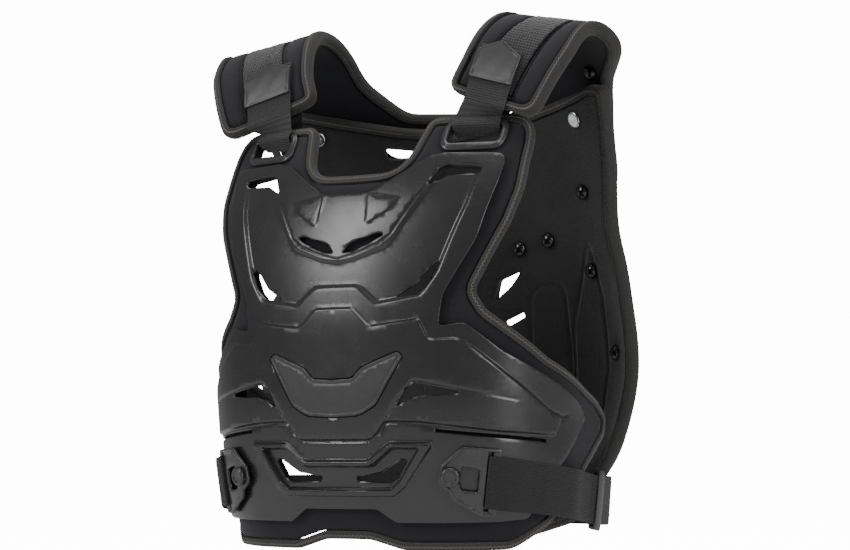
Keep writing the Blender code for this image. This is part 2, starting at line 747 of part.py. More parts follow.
def make_slot_ring(side, name, material):
    outline = slot_loop(ring_centre(side), ring_width, ring_height, 0.49 * ring_height)
    sheet = flat_pattern(outline, [ring_slot(side)], [], ring_width)
    top = ring_floor + ring_thickness
    panel = thicken_and_wrap(sheet, on_front, lambda p: ring_floor, lambda p: top)
    return add_object(name, panel, material)


def strap(stations, width_lines, thickness):
    """A flat strap through its two edge lines, square-ended."""
    made = bmesh.new()
    rings = []
    last = len(stations) - 1
    for i, centre in enumerate(stations):
        run = stations[min(i + 1, last)] - stations[max(i - 1, 0)]
        upper, lower = width_lines[i]
        face = run.cross(upper - lower).normalized() * thickness / 2
        corners = (upper + face, lower + face, lower - face, upper - face)
        rings.append([made.verts.new(corner) for corner in corners])
    # both wide faces fold along the same diagonal, so the wall keeps its thickness
    for ring, following in zip(rings, rings[1:]):
        made.faces.new((ring[0], ring[1], following[1]))
        made.faces.new((ring[0], following[1], following[0]))
        made.faces.new((ring[1], ring[2], following[2], following[1]))
        made.faces.new((ring[2], ring[3], following[2]))
        made.faces.new((ring[3], following[3], following[2]))
        made.faces.new((ring[3], ring[0], following[0], following[3]))
    made.faces.new(rings[0])
    made.faces.new(reversed(rings[-1]))
    return made


def strap_from(edges, thickness):
    return strap([(upper + lower) / 2 for upper, lower in edges], edges, thickness)


webbing_stand = yoke_thickness + tape_proud + panel_gap + webbing_thickness / 2
label_run = 0.800         # where the webbing's upper end lies on the arch, as a share of it
webbing_turn = 0.170      # how far the webbing strays outwards for each unit up
run_shares = (0, 0.12, 0.24, 0.36, 0.48, 0.60, 0.72, 0.84, 1.0)
tuck_shares = (0.86, 0.93, 1.0)


def webbing_across(side, rise):
    """The webbing's middle line, as it climbs from the ring."""
    return side * (ring_spot.across * front_pad_reach + webbing_turn * rise)


def webbing_edges(place, side, middle, up, proud):
    half = side * webbing_width / 2
    return place(middle + half, up, proud), place(middle - half, up, proud)


def make_webbing(side, name, material):
    """From the yoke's underside down behind the tab, out through the ring and up to its end."""
    ring_height_up = -ring_spot.drop * torso_height
    slot_top = ring_height_up + ring_height / 2 - ring_bar
    bar_top = ring_height_up + ring_height / 2
    turn = slot_top - 1.6 * webbing_thickness - gap
    tab_top = -front_pad_outline[3].drop * torso_height
    leg_end = arch_length * yoke_outline[5].run - tape_width
    behind = -(front_pad_thickness + tape_proud + panel_gap + webbing_thickness / 2)
    before = ring_floor + ring_thickness + 2 * gap + webbing_thickness / 2
    under = -(tape_proud + panel_gap + webbing_thickness / 2)
    edges = []

    def add(place, rise, up, proud):
        edges.append(webbing_edges(place, side, webbing_across(side, rise), up, proud))

    for share in tuck_shares:
        add(on_yoke, ring_to_yoke, leg_end * share, under)
    for up in (tab_top, bar_top, turn + webbing_thickness):
        add(on_front, 0, up, behind)
    for share in (0.3, 0.7):
        add(on_front, 0, turn, behind + (before - behind) * share)
    for up in (turn + webbing_thickness, slot_top + ring_bar / 2, bar_top - gap):
        add(on_front, 0, up, before)
    leg_start = arch_length * yoke_outline[6].run
    length = leg_start - arch_length * label_run
    for share in run_shares:
        add(on_yoke, ring_to_yoke + length * share, leg_start - length * share, webbing_stand)
    return add_object(name, strap_from(edges, webbing_thickness), material)


def make_label(side, name, material):
    """The moulded tip on the webbing's upper end, with a point at its top."""
    end = arch_length * label_run
    rise = ring_to_yoke + arch_length * (yoke_outline[6].run - label_run)
    middle = webbing_across(side, rise)
    half = webbing_width / 2 + gap
    low = end + label_length
    lean = side * webbing_turn
    outline = [
        Vector((middle - half - lean * (label_length - label_point), low)),
        Vector((middle + half - lean * (label_length - label_point), low)),
        Vector((middle + half, end + label_point)), Vector((middle, end - label_point)),
        Vector((middle - half, end + label_point)),
    ]
    sheet = flat_pattern(split_sides(outline, arch_step / 2), [], [], arch_step / 2)
    floor = webbing_stand + webbing_thickness / 2 + 2 * gap
    panel = thicken_and_wrap(sheet, on_yoke, lambda p: floor, lambda p: floor + label_thickness)
    return add_object(name, panel, material)


def make_loop_strip(side, name, material):
    channel = yoke_loop(yoke_channel, mirrored=False)
    outline = inset([Vector((side * p.x, p.y)) for p in channel], channel_depth + panel_gap)
    sheet = flat_pattern(outline, [], [], arch_step / 2)
    floor = yoke_thickness - channel_depth + panel_gap
    top = floor + loop_strip_thickness
    panel = thicken_and_wrap(sheet, on_yoke, lambda p: floor, lambda p: top)
    return add_object(name, panel, material)


def hook_flat(side, along, up):
    """A place on the front from one on the hook: along its strap, and across it upwards."""
    button = spot_on(button_spot, shell_reach, 1)
    turned = Vector((
        along * math.cos(hook_tilt) - up * math.sin(hook_tilt),
        along * math.sin(hook_tilt) + up * math.cos(hook_tilt),
    ))
    spot = button + turned
    return Vector((side * spot.x, spot.y))


def hook_loop(rows, side):
    flat = [(row.along * elastic_width, row.up * elastic_width, row.round * elastic_width)
            for row in rows]
    return [hook_flat(side, point.x, point.y) for point in round_corners(flat, elastic_width)]


def make_hook(side, name, material):
    """The plate that hooks over the button, with a keyhole and a slot for its strap."""
    holes = [hook_loop(keyhole, side), hook_loop(strap_slot, side)]
    sheet = flat_pattern(hook_loop(hook_outline, side), holes, [], elastic_width / 2)
    panel = thicken_and_wrap(sheet, on_front, lambda p: hook_floor, lambda p: hook_top)
    return add_object(name, panel, material)


def elastic_stations(side):
    """The elastic's upper and lower edge lines, from behind the hook's bar to the back."""
    half = elastic_width / 2
    slot = (strap_slot[0].along + strap_slot[1].along) / 2 * elastic_width
    inner = belt_top + panel_gap + elastic_thickness / 2
    edges = []

    def add_hooked(along, proud):
        upper = hook_flat(side, along, half)
        lower = hook_flat(side, along, -half)
        edges.append((on_front(upper.x, upper.y, proud), on_front(lower.x, lower.y, proud)))

    for along, proud in ((slot + elastic_tuck, inner), (slot + elastic_tuck / 2, inner),
                         (slot, inner), (slot - gap, (inner + elastic_outer) / 2),
                         (slot, elastic_outer)):
        add_hooked(along, proud)
    button = button_spot.across * shell_reach
    for row in elastic_front:
        add_hooked((row.across - button) / math.cos(hook_tilt), row.stand * elastic_outer)
    level = (edges[-1][0].z + edges[-1][1].z) / 2
    stand = yoke_layer + shell_wall + panel_gap + elastic_thickness
    for across in elastic_back:
        edges.append((
            on_back(side * across, level + half, stand), on_back(side * across, level - half, stand)))
    return edges


def make_elastic(side, name, material):
    return add_object(name, strap_from(elastic_stations(side), elastic_thickness), material)


def make_slider(side, name, material):
    """A slide that the elastic runs through: two bars joined at their ends."""
    button = button_spot.across * shell_reach
    along = (slider_across - button) / math.cos(hook_tilt)
    half = elastic_width / 2
    slide = bmesh.new()
    rings = []
    for outward, clear in ((slider_bar * 0.6, slider_bar * 0.4), (0, 0)):
        reach = half + gap * 2 + outward
        rise = elastic_thickness / 2 + gap * 2 + clear
        for step in (along - slider_bar, along + slider_bar):
            spots = [hook_flat(side, step, up) for up in (reach, -reach)]
            rings.append([
                slide.verts.new(on_front(spots[0].x, spots[0].y, slider_stand + rise)),
                slide.verts.new(on_front(spots[1].x, spots[1].y, slider_stand + rise)),
                slide.verts.new(on_front(spots[1].x, spots[1].y, slider_stand - rise)),
                slide.verts.new(on_front(spots[0].x, spots[0].y, slider_stand - rise)),
            ])
    outer_near, outer_far, inner_near, inner_far = rings
    for ring, following in ((outer_near, outer_far), (outer_far, inner_far),
                            (inner_far, inner_near), (inner_near, outer_near)):
        for i in range(4):
            j = (i + 1) % 4
            slide.faces.new((ring[i], ring[j], following[j], following[i]))
    return add_object(name, slide, material)


def stud(place, flat, stand, inwards, profile, sides):
    """A turned stud on a surface: profile gives radius and height, from its foot to its top."""
    foot = place(flat.x, flat.y, stand)
    axis = (place(flat.x, flat.y, stand + gap) - foot).normalized() * (-1 if inwards else 1)
    level = Vector((axis.y, -axis.x, 0)).normalized()
    across = axis.cross(level)
    turned = bmesh.new()
    rings = []
    for radius, height in profile:
        ring = []
        for step in range(sides):
            turn = 2 * math.pi * step / sides
            spoke = level * math.cos(turn) + across * math.sin(turn)
            ring.append(turned.verts.new(foot + axis * height + spoke * radius))
        rings.append(ring)
    for ring, following in zip(rings, rings[1:]):
        for i in range(sides):
            j = (i + 1) % sides
            turned.faces.new((ring[i], ring[j], following[j], following[i]))
    turned.faces.new(reversed(rings[0]))
    turned.faces.new(rings[-1])
    return turned


def make_button(side, name, material):
    """The post that holds the hook: a foot, a neck through the keyhole and a wide flat head."""
    neck = 0.4 * button_radius
    head = hook_top - belt_top + gap
    profile = (
        (0.7 * button_radius, 0), (0.7 * button_radius, gap * 3), (neck, gap * 3), (neck, head),
        (button_radius, head), (button_radius, head + 0.6 * button_head),
        (0.75 * button_radius, head + button_head),
    )
    spot = spot_on(button_spot, shell_reach, side)
    return add_object(name, stud(on_front, spot, belt_top + gap, False, profile, 12), material)


def make_silver_rivet(side, name, material):
    profile = (
        (silver_radius, 0), (silver_radius, silver_height / 2),
        (0.8 * silver_radius, silver_height),
    )
    spot = spot_on(silver_spot, back_pad_reach, side)
    return add_object(name, stud(on_back, spot, -panel_gap, True, profile, 12), material)


def dome_profile():
    steps = 2
    turns = [0.85 * math.pi / 2 * step / steps for step in range(steps + 1)]
    return [(dome_radius * math.cos(turn), dome_height * math.sin(turn)) for turn in turns]


def make_dome(spot, side, name, material):
    flat = spot_on(spot, back_pad_reach, side)
    stand = -panel_gap - gap / 4
    return add_object(name, stud(on_back, flat, stand, True, dome_profile(), 8), material)


def make_yoke_rivet(side, name, material):
    flat = Vector((side * yoke_rivet.across * yoke_reach, yoke_rivet.run * arch_length))
    return add_object(name, stud(on_yoke, flat, -panel_gap, True, dome_profile(), 8), material)


def main():
    clear_scene()
    moulded = new_material("moulded shell", (0.030, 0.030, 0.031), 0.38)
    rubber = new_material("black rubber", (0.018, 0.018, 0.019), 0.55)
    neoprene = new_material("navy neoprene", (0.016, 0.016, 0.021), 0.90)
    knit = new_material("black knit", (0.014, 0.014, 0.014), 0.95)
    tape = new_material("edge tape", (0.045, 0.042, 0.036), 0.95)
    webbing = new_material("woven webbing", (0.022, 0.023, 0.021), 0.85)
    elastic = new_material("ribbed elastic", (0.032, 0.031, 0.028), 0.90)
    fluff = new_material("loop strip", (0.010, 0.010, 0.011), 1.00)
    silver = new_material("bright steel", (0.600, 0.620, 0.640), 0.25, 1.0)
    make_front_pad(neoprene, tape)
    make_front_shell(moulded)
    make_badge(rubber)
    make_back_pad(knit, tape)
    make_back_shell(moulded)
    make_yoke(neoprene, tape)
    for side, word in ((1, "left"), (-1, "right")):
        make_slot_ring(side, f"slot_ring_{word}", moulded)
        make_loop_strip(side, f"loop_strip_{word}", fluff)
        make_webbing(side, f"webbing_{word}", webbing)
        make_label(side, f"webbing_tip_{word}", rubber)
        make_button(side, f"strap_button_{word}", moulded)
        make_hook(side, f"strap_hook_{word}", moulded)
        make_elastic(side, f"elastic_strap_{word}", elastic)
        make_slider(side, f"strap_slider_{word}", moulded)
        make_silver_rivet(side, f"silver_rivet_{word}", silver)
        make_yoke_rivet(side, f"yoke_rivet_{word}", rubber)
        for number, spot in enumerate(dome_spots, 1):
            make_dome(spot, side, f"dome_rivet_{number}_{word}", rubber)


main()
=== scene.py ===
import math

import bmesh
import bpy
import numpy as np
from mathutils import Matrix, Vector
from mathutils.geometry import delaunay_2d_cdt, tessellate_polygon


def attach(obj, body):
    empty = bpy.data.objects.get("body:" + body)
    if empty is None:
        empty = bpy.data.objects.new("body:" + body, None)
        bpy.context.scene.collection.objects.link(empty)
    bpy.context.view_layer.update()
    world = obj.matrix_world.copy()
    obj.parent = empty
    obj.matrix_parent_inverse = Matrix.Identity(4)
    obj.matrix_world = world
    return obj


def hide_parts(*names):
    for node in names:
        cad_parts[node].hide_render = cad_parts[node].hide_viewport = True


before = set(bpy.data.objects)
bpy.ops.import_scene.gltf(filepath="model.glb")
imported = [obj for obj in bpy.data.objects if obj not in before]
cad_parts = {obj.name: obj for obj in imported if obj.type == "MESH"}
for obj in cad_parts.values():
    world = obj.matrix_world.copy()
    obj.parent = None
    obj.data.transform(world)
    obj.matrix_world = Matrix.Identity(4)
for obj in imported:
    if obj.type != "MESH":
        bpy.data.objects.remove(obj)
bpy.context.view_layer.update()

print("frame loaded:", len(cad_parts), "nodes")

# the torso that every panel is wrapped on, in metres
torso = {
    "height": 0.500, "frontDepth": 0.143, "backDepth": 0.130, "sideRadius": 0.110,
    "frontRadius": 0.450, "backRadius": 0.600, "flatAngle": math.radians(12),
}
# drop, depth and side radius, as shares of the values above
frontForm = np.array([
    (0.072, 0.300, 3.80), (0.132, 0.413, 3.80), (0.232, 0.629, 3.60), (0.276, 0.720, 3.50),
    (0.352, 0.846, 3.25), (0.432, 0.923, 2.55), (0.552, 0.979, 1.55), (0.632, 0.993, 1.18),
    (0.732, 1.000, 1.04), (0.872, 0.965, 1.00), (1.000, 0.888, 0.88),
])
backForm = np.array([
    (0.072, 0.500, 1.50), (0.178, 0.669, 1.25), (0.272, 0.808, 1.10), (0.472, 0.962, 0.92),
    (0.672, 1.000, 1.04), (0.872, 0.900, 0.62), (1.000, 0.800, 0.52),
])


def readForm(form, heights):
    # depth and side shares at each height, on a smooth curve through the rows
    drops = np.clip(-heights / torso["height"], form[0, 0], form[-1, 0])
    upper = np.clip(np.searchsorted(form[:, 0], drops, side="left") - 1, 0, len(form) - 2)
    before, after = form[np.maximum(upper - 1, 0)], form[np.minimum(upper + 2, len(form) - 1)]
    first, second = form[upper], form[upper + 1]
    span = second[:, 0] - first[:, 0]
    s = (drops - first[:, 0]) / span
    found = []
    for field in (1, 2):
        start = (second[:, field] - before[:, field]) / (second[:, 0] - before[:, 0])
        end = (after[:, field] - first[:, field]) / (after[:, 0] - first[:, 0])
        value = (2 * s**3 - 3 * s**2 + 1) * first[:, field] + (s**3 - 2 * s**2 + s) * span * start
        value += (3 * s**2 - 2 * s**3) * second[:, field] + (s**3 - s**2) * span * end
        found.append(value)
    return found


def sectionPoints(across, depth, side, middle):
    # a wide arc, a tighter side arc, then a straight side
    length, flat = np.abs(across), torso["flatAngle"]
    near = middle * flat
    turn = np.where(length <= near, length / middle, 0)
    bend = np.minimum(flat + (length - near) / side, math.pi / 2)
    straight = np.maximum(0, length - near - side * (math.pi / 2 - flat))
    out = np.where(length <= near, middle * np.sin(turn),
                   middle * math.sin(flat) + side * (np.sin(bend) - math.sin(flat)))
    back = np.where(length <= near, middle * (1 - np.cos(turn)),
                    middle * (1 - math.cos(flat)) + straight + side * (math.cos(flat) - np.cos(bend)))
    return np.copysign(out, across), depth - back


def frontPlace(across, up):
    depth, side = readForm(frontForm, up)
    out, back = sectionPoints(across, depth * torso["frontDepth"], side * torso["sideRadius"],
                              torso["frontRadius"])
    return np.stack([out, -back, up], 1)


def backPlace(across, up):
    depth, side = readForm(backForm, up)
    out, back = sectionPoints(-across, depth * torso["backDepth"], side * torso["sideRadius"],
                              torso["backRadius"])
    return np.stack([out, back, up], 1)


def unit(vectors):
    return vectors / np.linalg.norm(vectors, axis=1)[:, None]


def standing(place, across, up, proud):
    # points proud of a surface, along its normal
    across, up, proud = np.broadcast_arrays(*(np.asarray(v, float) for v in (across, up, proud)))
    nudge = 0.0005
    along = place(across + nudge, up) - place(across - nudge, up)
    rise = place(across, up + nudge) - place(across, up - nudge)
    return place(across, up) + unit(np.cross(along, rise)) * proud[:, None]


def onFront(across, up, proud):
    return standing(frontPlace, across, up, proud)


def onBack(across, up, proud):
    return standing(backPlace, -np.asarray(across, float), up, proud)


yokeForm = {"reach": 0.220, "join": 0.062, "front": 0.047, "lean": 0.29, "slope": 0.29,
            "inner": 0.110, "layer": 0.014, "twist": 0.14}


def archControls(across):
    # the control points of the arch over the shoulder, in each column
    flat = np.full_like(across, -yokeForm["join"])
    foot = onBack(across, flat, yokeForm["layer"])
    rearUp = unit(foot - onBack(across, flat - 0.002, yokeForm["layer"]))
    frontUp = np.array([0, yokeForm["lean"], 1]) / math.hypot(yokeForm["lean"], 1)
    handle = (yokeForm["join"] / (0.375 * (rearUp[:, 2] + frontUp[2])))[:, None]
    fall = yokeForm["slope"] * np.maximum(np.abs(across) - yokeForm["inner"], -yokeForm["inner"] / 2)
    turn = yokeForm["twist"] * (np.abs(across) - yokeForm["inner"])
    frontFoot = np.stack([foot[:, 0], -yokeForm["front"] - turn, -yokeForm["join"] - fall], 1)
    middleFall = np.stack([0 * fall, 0 * fall, -fall / 2], 1)
    return foot, foot + rearUp * handle + middleFall, frontFoot + frontUp * handle, frontFoot


def archPoints(controls, share):
    a, b, c, d = controls
    s = np.asarray(share, float)[:, None]
    return a * (1 - s)**3 + b * 3 * s * (1 - s)**2 + c * 3 * s**2 * (1 - s) + d * s**3


archShares = np.linspace(0, 1, 41)
archMiddle = archPoints(archControls(np.full(41, (yokeForm["inner"] + yokeForm["reach"]) / 2)), archShares)
archLengths = np.concatenate([[0], np.cumsum(np.linalg.norm(np.diff(archMiddle, axis=0), axis=1))])
archLength = archLengths[-1]


def yokePlace(across, run):
    rear = onBack(across, -yokeForm["join"] + np.minimum(run, 0), yokeForm["layer"])
    controls = archControls(across)
    arch = archPoints(controls, np.interp(run, archLengths, archShares))
    down = np.array([0, -yokeForm["lean"], -1]) / math.hypot(yokeForm["lean"], 1)
    leg = controls[3] + down * np.maximum(run - archLength, 0)[:, None]
    run = run[:, None]
    return np.where(run <= 0, rear, np.where(run <= archLength, arch, leg))


def onYoke(across, run, proud):
    return standing(lambda a, b: yokePlace(-a, b), -np.asarray(across, float), run, proud)


# Half outlines from the middle at the top to the middle at the bottom: how far across, as a share
# of the piece's reach, how far down and how round, as shares of the torso's height
frontPadOutline = [
    (0, 0.288, 0), (0.155, 0.286, 0.09), (0.198, 0.18, 0.03), (0.53, 0.18, 0.064),
    (0.535, 0.33, 0.1), (0.512, 0.39, 0.1), (0.418, 0.517, 0.022), (0.452, 0.552, 0.03),
    (0.65, 0.644, 0.08), (0.93, 0.722, 0.08), (1, 0.756, 0.036), (0.985, 0.796, 0.036),
    (0.64, 0.956, 0.04), (0.5, 0.998, 0.06), (0.18, 0.998, 0.06), (0.075, 0.978, 0.06),
    (0, 0.978, 0),
]
shellOutline = [
    (0, 0.332, 0), (0.095, 0.332, 0.06), (0.29, 0.266, 0.02), (0.345, 0.261, 0.03),
    (0.571, 0.266, 0.026), (0.56, 0.318, 0.04), (0.51, 0.424, 0.1), (0.402, 0.524, 0.06),
    (0.389, 0.583, 0.008), (0.478, 0.576, 0.026), (0.6, 0.628, 0.04), (0.963, 0.732, 0.04),
    (1, 0.758, 0.014), (0.815, 0.846, 0.04), (0.664, 0.938, 0.024), (0.56, 0.942, 0.04),
    (0.212, 0.942, 0.016), (0.142, 0.917, 0.016), (0, 0.917, 0),
]
backPadOutline = [
    (0, 0.18, 0), (0.26, 0.164, 0.06), (0.51, 0.140, 0.04), (0.72, 0.118, 0.04),
    (0.84, 0.124, 0.056), (0.83, 0.19, 0.04), (0.75, 0.4, 0.12), (0.92, 0.52, 0.08),
    (1, 0.64, 0.08), (0.93, 0.74, 0.08), (0.8, 0.81, 0.06), (0.63, 0.88, 0.06), (0.5, 0.965, 0.06),
    (0.3, 0.994, 0.06), (0, 0.994, 0),
]
backShellOutline = [
    (0, 0.236, 0), (0.42, 0.236, 0.04), (0.64, 0.136, 0.024), (0.84, 0.142, 0.04),
    (0.78, 0.42, 0.08), (0.96, 0.62, 0.08), (0.88, 0.74, 0.06), (0.7, 0.82, 0.06),
    (0.58, 0.88, 0.05), (0.5, 0.945, 0.04), (0, 0.955, 0),
]
chestRecess = [
    (0, 0.452, 0), (0.06, 0.448, 0.02), (0.18, 0.426, 0.02), (0.216, 0.4, 0.024),
    (0.33, 0.302, 0.01), (0.366, 0.281, 0.012), (0.496, 0.286, 0.012), (0.474, 0.356, 0.08),
    (0.388, 0.486, 0.05), (0.33, 0.53, 0.026), (0.16, 0.544, 0.02), (0.082, 0.51, 0.02),
    (0, 0.51, 0),
]
bellyPlate = [
    (0, 0.543, 0), (0.075, 0.543, 0.018), (0.142, 0.577, 0.018), (0.326, 0.566, 0.01),
    (0.362, 0.605, 0.012), (0.45, 0.602, 0.024), (0.504, 0.618, 0.014), (0.776, 0.738, 0.04),
    (0.838, 0.751, 0.01), (0.795, 0.789, 0.008), (0.586, 0.779, 0), (0.325, 0.759, 0.02),
    (0.2, 0.757, 0.012), (0.15, 0.791, 0.014), (0, 0.791, 0),
]
lowerFrame = [
    (0, 0.824, 0), (0.127, 0.824, 0.018), (0.208, 0.792, 0.018), (0.364, 0.792, 0.006),
    (0.364, 0.804, 0.006), (0.262, 0.877, 0.018), (0.217, 0.895, 0.018), (0, 0.895, 0),
]
lowerRecess = [
    (0, 0.835, 0), (0.135, 0.835, 0.018), (0.215, 0.802, 0.018), (0.325, 0.802, 0.006),
    (0.245, 0.866, 0.018), (0.208, 0.882, 0.014), (0, 0.882, 0),
]
badgeOutline = [
    (0, 0.676, 0), (0.075, 0.674, 0.014), (0.112, 0.654, 0.014), (0.247, 0.625, 0.01),
    (0.274, 0.636, 0.01), (0.17, 0.727, 0.024), (0.105, 0.746, 0.04), (0, 0.749, 0),
]
topWindow = [
    (0.305, 0.322, 0.003), (0.337, 0.291, 0.006), (0.366, 0.283, 0.006), (0.489, 0.291, 0.004),
    (0.489, 0.301, 0.004), (0.375, 0.303, 0.01),
]
crescentWindow = [
    (0.226, 0.528, 0.003), (0.308, 0.503, 0.024), (0.345, 0.478, 0.016), (0.378, 0.463, 0.003),
    (0.386, 0.47, 0.003), (0.352, 0.504, 0.02), (0.31, 0.523, 0.012),
]
eyeWindow = [
    (0.018, 0.442, 0.002), (0.046, 0.424, 0.006), (0.112, 0.414, 0.012), (0.164, 0.407, 0.002),
    (0.172, 0.412, 0.002), (0.12, 0.427, 0.016), (0.06, 0.44, 0.006),
]
sideWindow = [
    (0.239, 0.73, 0.003), (0.278, 0.694, 0.006), (0.315, 0.686, 0.008), (0.456, 0.701, 0.002),
    (0.456, 0.707, 0.002), (0.33, 0.709, 0.016), (0.285, 0.715, 0.012),
]
lowerWindow = [
    (0.078, 0.866, 0.004), (0.068, 0.858, 0.004), (0.168, 0.85, 0.016), (0.243, 0.826, 0.004),
    (0.267, 0.826, 0.004), (0.232, 0.858, 0.012), (0.205, 0.868, 0.008),
]
beltSlit = [(0.375, 0.77, 0), (0.76, 0.794, 0), (0.76, 0.799, 0), (0.375, 0.775, 0)]
yokeOutline = [
    (0, -0.08, 0), (0.26, -0.06, 0.06), (0.43, 0.12, 0.06), (0.46, 0.48, 0.1), (0.385, 0.9, 0.1),
    (0.33, 1.09, 0.036), (0.78, 1.13, 0.05), (0.93, 0.7, 0.1), (0.97, 0.42, 0.1),
    (1.03, 0.2, 0.08), (0.86, 0, 0.06), (0.78, -0.37, 0.04), (0.56, -0.37, 0.04),
    (0.42, -0.19, 0.04), (0, -0.19, 0),
]
yokeChannel = [
    (0.606, 0.26, 0), (0.606, 0.52, 0.08), (0.448, 1.04, 0), (0.674, 1.06, 0),
    (0.832, 0.52, 0.08), (0.832, 0.26, 0),
]
hookOutline = [
    (-0.2, 0.16, 0.14), (0.02, 0.44, 0.08), (0.14, 0.58, 0.08), (0.82, 0.62, 0.04),
    (0.82, -0.62, 0.04), (0.56, -0.66, 0.06), (0.36, -0.56, 0.06), (0.06, -0.42, 0.06),
    (0, -0.28, 0.04), (-0.2, -0.16, 0.14),
]
hookKeyhole = [
    (-0.1, 0.1, 0.04), (0.16, 0.11, 0), (0.17, 0.22, 0.03), (0.48, 0.2, 0.05),
    (0.48, -0.22, 0.05), (0.2, -0.22, 0.05), (0.16, -0.11, 0), (-0.1, -0.1, 0.04),
]
hookSlot = [(0.6, 0.54, 0), (0.68, 0.54, 0), (0.68, -0.54, 0), (0.6, -0.54, 0)]


reach = {"frontPad": 0.325, "shell": 0.268, "backPad": 0.245, "backShell": 0.205, "yoke": 0.220}
layers = {
    "frontPad": 0.009, "backPad": 0.012, "yoke": 0.012, "channel": 0.003, "shell": 0.0025,
    "tapeWidth": 0.008, "tapeProud": 0.0008, "gap": 0.0004, "tapeGap": 0.0009, "panelGap": 0.0012,
    "border": 0.0025, "plate": 0.0055, "frame": 0.0035, "badge": 0.0015,
    "frameChamfer": 0.006, "plateChamfer": 0.003,
}
shellFloor = layers["panelGap"] + layers["shell"]
sides = ((1, "left"), (-1, "right"))
smallestRound = 0.0008


def mirrorPair(loop):
    return [loop, loop[::-1] * (-1, 1)]


def roundCorners(corners, arc=math.radians(15)):
    points, count = [], len(corners)
    for i, (x, y, radius) in enumerate(corners):
        here = Vector((x, y))
        if radius < smallestRound:
            points.append(here)
            continue
        before, after = Vector(corners[i - 1][:2]) - here, Vector(corners[(i + 1) % count][:2]) - here
        half = before.angle(after) / 2
        length = min(radius / math.tan(half), 0.45 * before.length, 0.45 * after.length)
        steps = max(2, math.ceil((math.pi - 2 * half) / arc))
        start, end = here + before.normalized() * length, here + after.normalized() * length
        for step in range(steps + 1):
            s = step / steps
            points.append(start.lerp(here, s).lerp(here.lerp(end, s), s))
    return np.array([tuple(p) for p in points])


def drawn(rows, width, mirrored=True, height=None):
    tall = torso["height"]
    right = [(x * width, -y * tall if height is None else y * height, r * tall) for x, y, r in rows]
    left = [(-x, y, r) for x, y, r in reversed(right) if x > 0]
    return roundCorners(right + left if mirrored else right)


def windowPair(rows, width):
    return mirrorPair(drawn(rows, width, mirrored=False))


def moved(loop, distance):
    # the outline moved inwards, or outwards for a negative distance
    before, after = loop - np.roll(loop, 1, 0), np.roll(loop, -1, 0) - loop
    before, after = unit(before), unit(after)
    area = np.sum(loop[:, 0] * np.roll(loop[:, 1], -1) - np.roll(loop[:, 0], -1) * loop[:, 1])
    normal = unit(np.stack([-(before[:, 1] + after[:, 1]), before[:, 0] + after[:, 0]], 1))
    slant = np.maximum(0.5, np.sum(normal * np.stack([-before[:, 1], before[:, 0]], 1), axis=1))
    result = loop + math.copysign(1, area) * normal * (distance / slant)[:, None]
    return result[loopDistance(result, loop) > 0.97 * abs(distance)]


def evenly(loop, step):
    # the outline with its points evenly spaced, and its inward directions
    closed = np.vstack([loop, loop[:1]])
    lengths = np.concatenate([[0], np.cumsum(np.linalg.norm(np.diff(closed, axis=0), axis=1))])
    count = max(12, round(lengths[-1] / step))
    at = np.linspace(0, lengths[-1], count, endpoint=False)
    points = np.stack([np.interp(at, lengths, closed[:, i]) for i in range(2)], 1)
    run = unit(np.roll(points, -1, 0) - np.roll(points, 1, 0))
    area = np.sum(points[:, 0] * np.roll(points[:, 1], -1) - np.roll(points[:, 0], -1) * points[:, 1])
    return points, np.stack([-run[:, 1], run[:, 0]], 1) * math.copysign(1, area), lengths[-1]


def loopDistance(points, loop):
    ends = np.roll(loop, -1, 0)
    side = ends - loop
    size = np.maximum(np.sum(side**2, axis=1), 1e-14)
    best = np.full(len(points), np.inf)
    for start, run, square in zip(loop, side, size):
        t = np.clip((points - start) @ run / square, 0, 1)
        best = np.minimum(best, np.hypot(*(points - start - t[:, None] * run).T))
    return best


def insideLoop(points, loop):
    found = np.zeros(len(points), bool)
    for a, b in zip(loop, np.roll(loop, -1, 0)):
        if a[1] == b[1]:
            continue
        crosses = (a[1] > points[:, 1]) != (b[1] > points[:, 1])
        found ^= crosses & (points[:, 0] < a[0] + (points[:, 1] - a[1]) * (b[0] - a[0]) / (b[1] - a[1]))
    return found


def rimDistance(points, loops):
    return np.min([loopDistance(points, loop) for loop in loops], axis=0)


def smooth(distance, width):
    t = np.clip(distance / width, 0, 1)
    return t * t * (3 - 2 * t)


def crown(distance, width):
    t = np.clip(distance / width, 0, 1)
    return np.sqrt(1 - (1 - t)**2)


def within(points, loop, width):
    return np.where(insideLoop(points, loop), smooth(loopDistance(points, loop), width), 0)


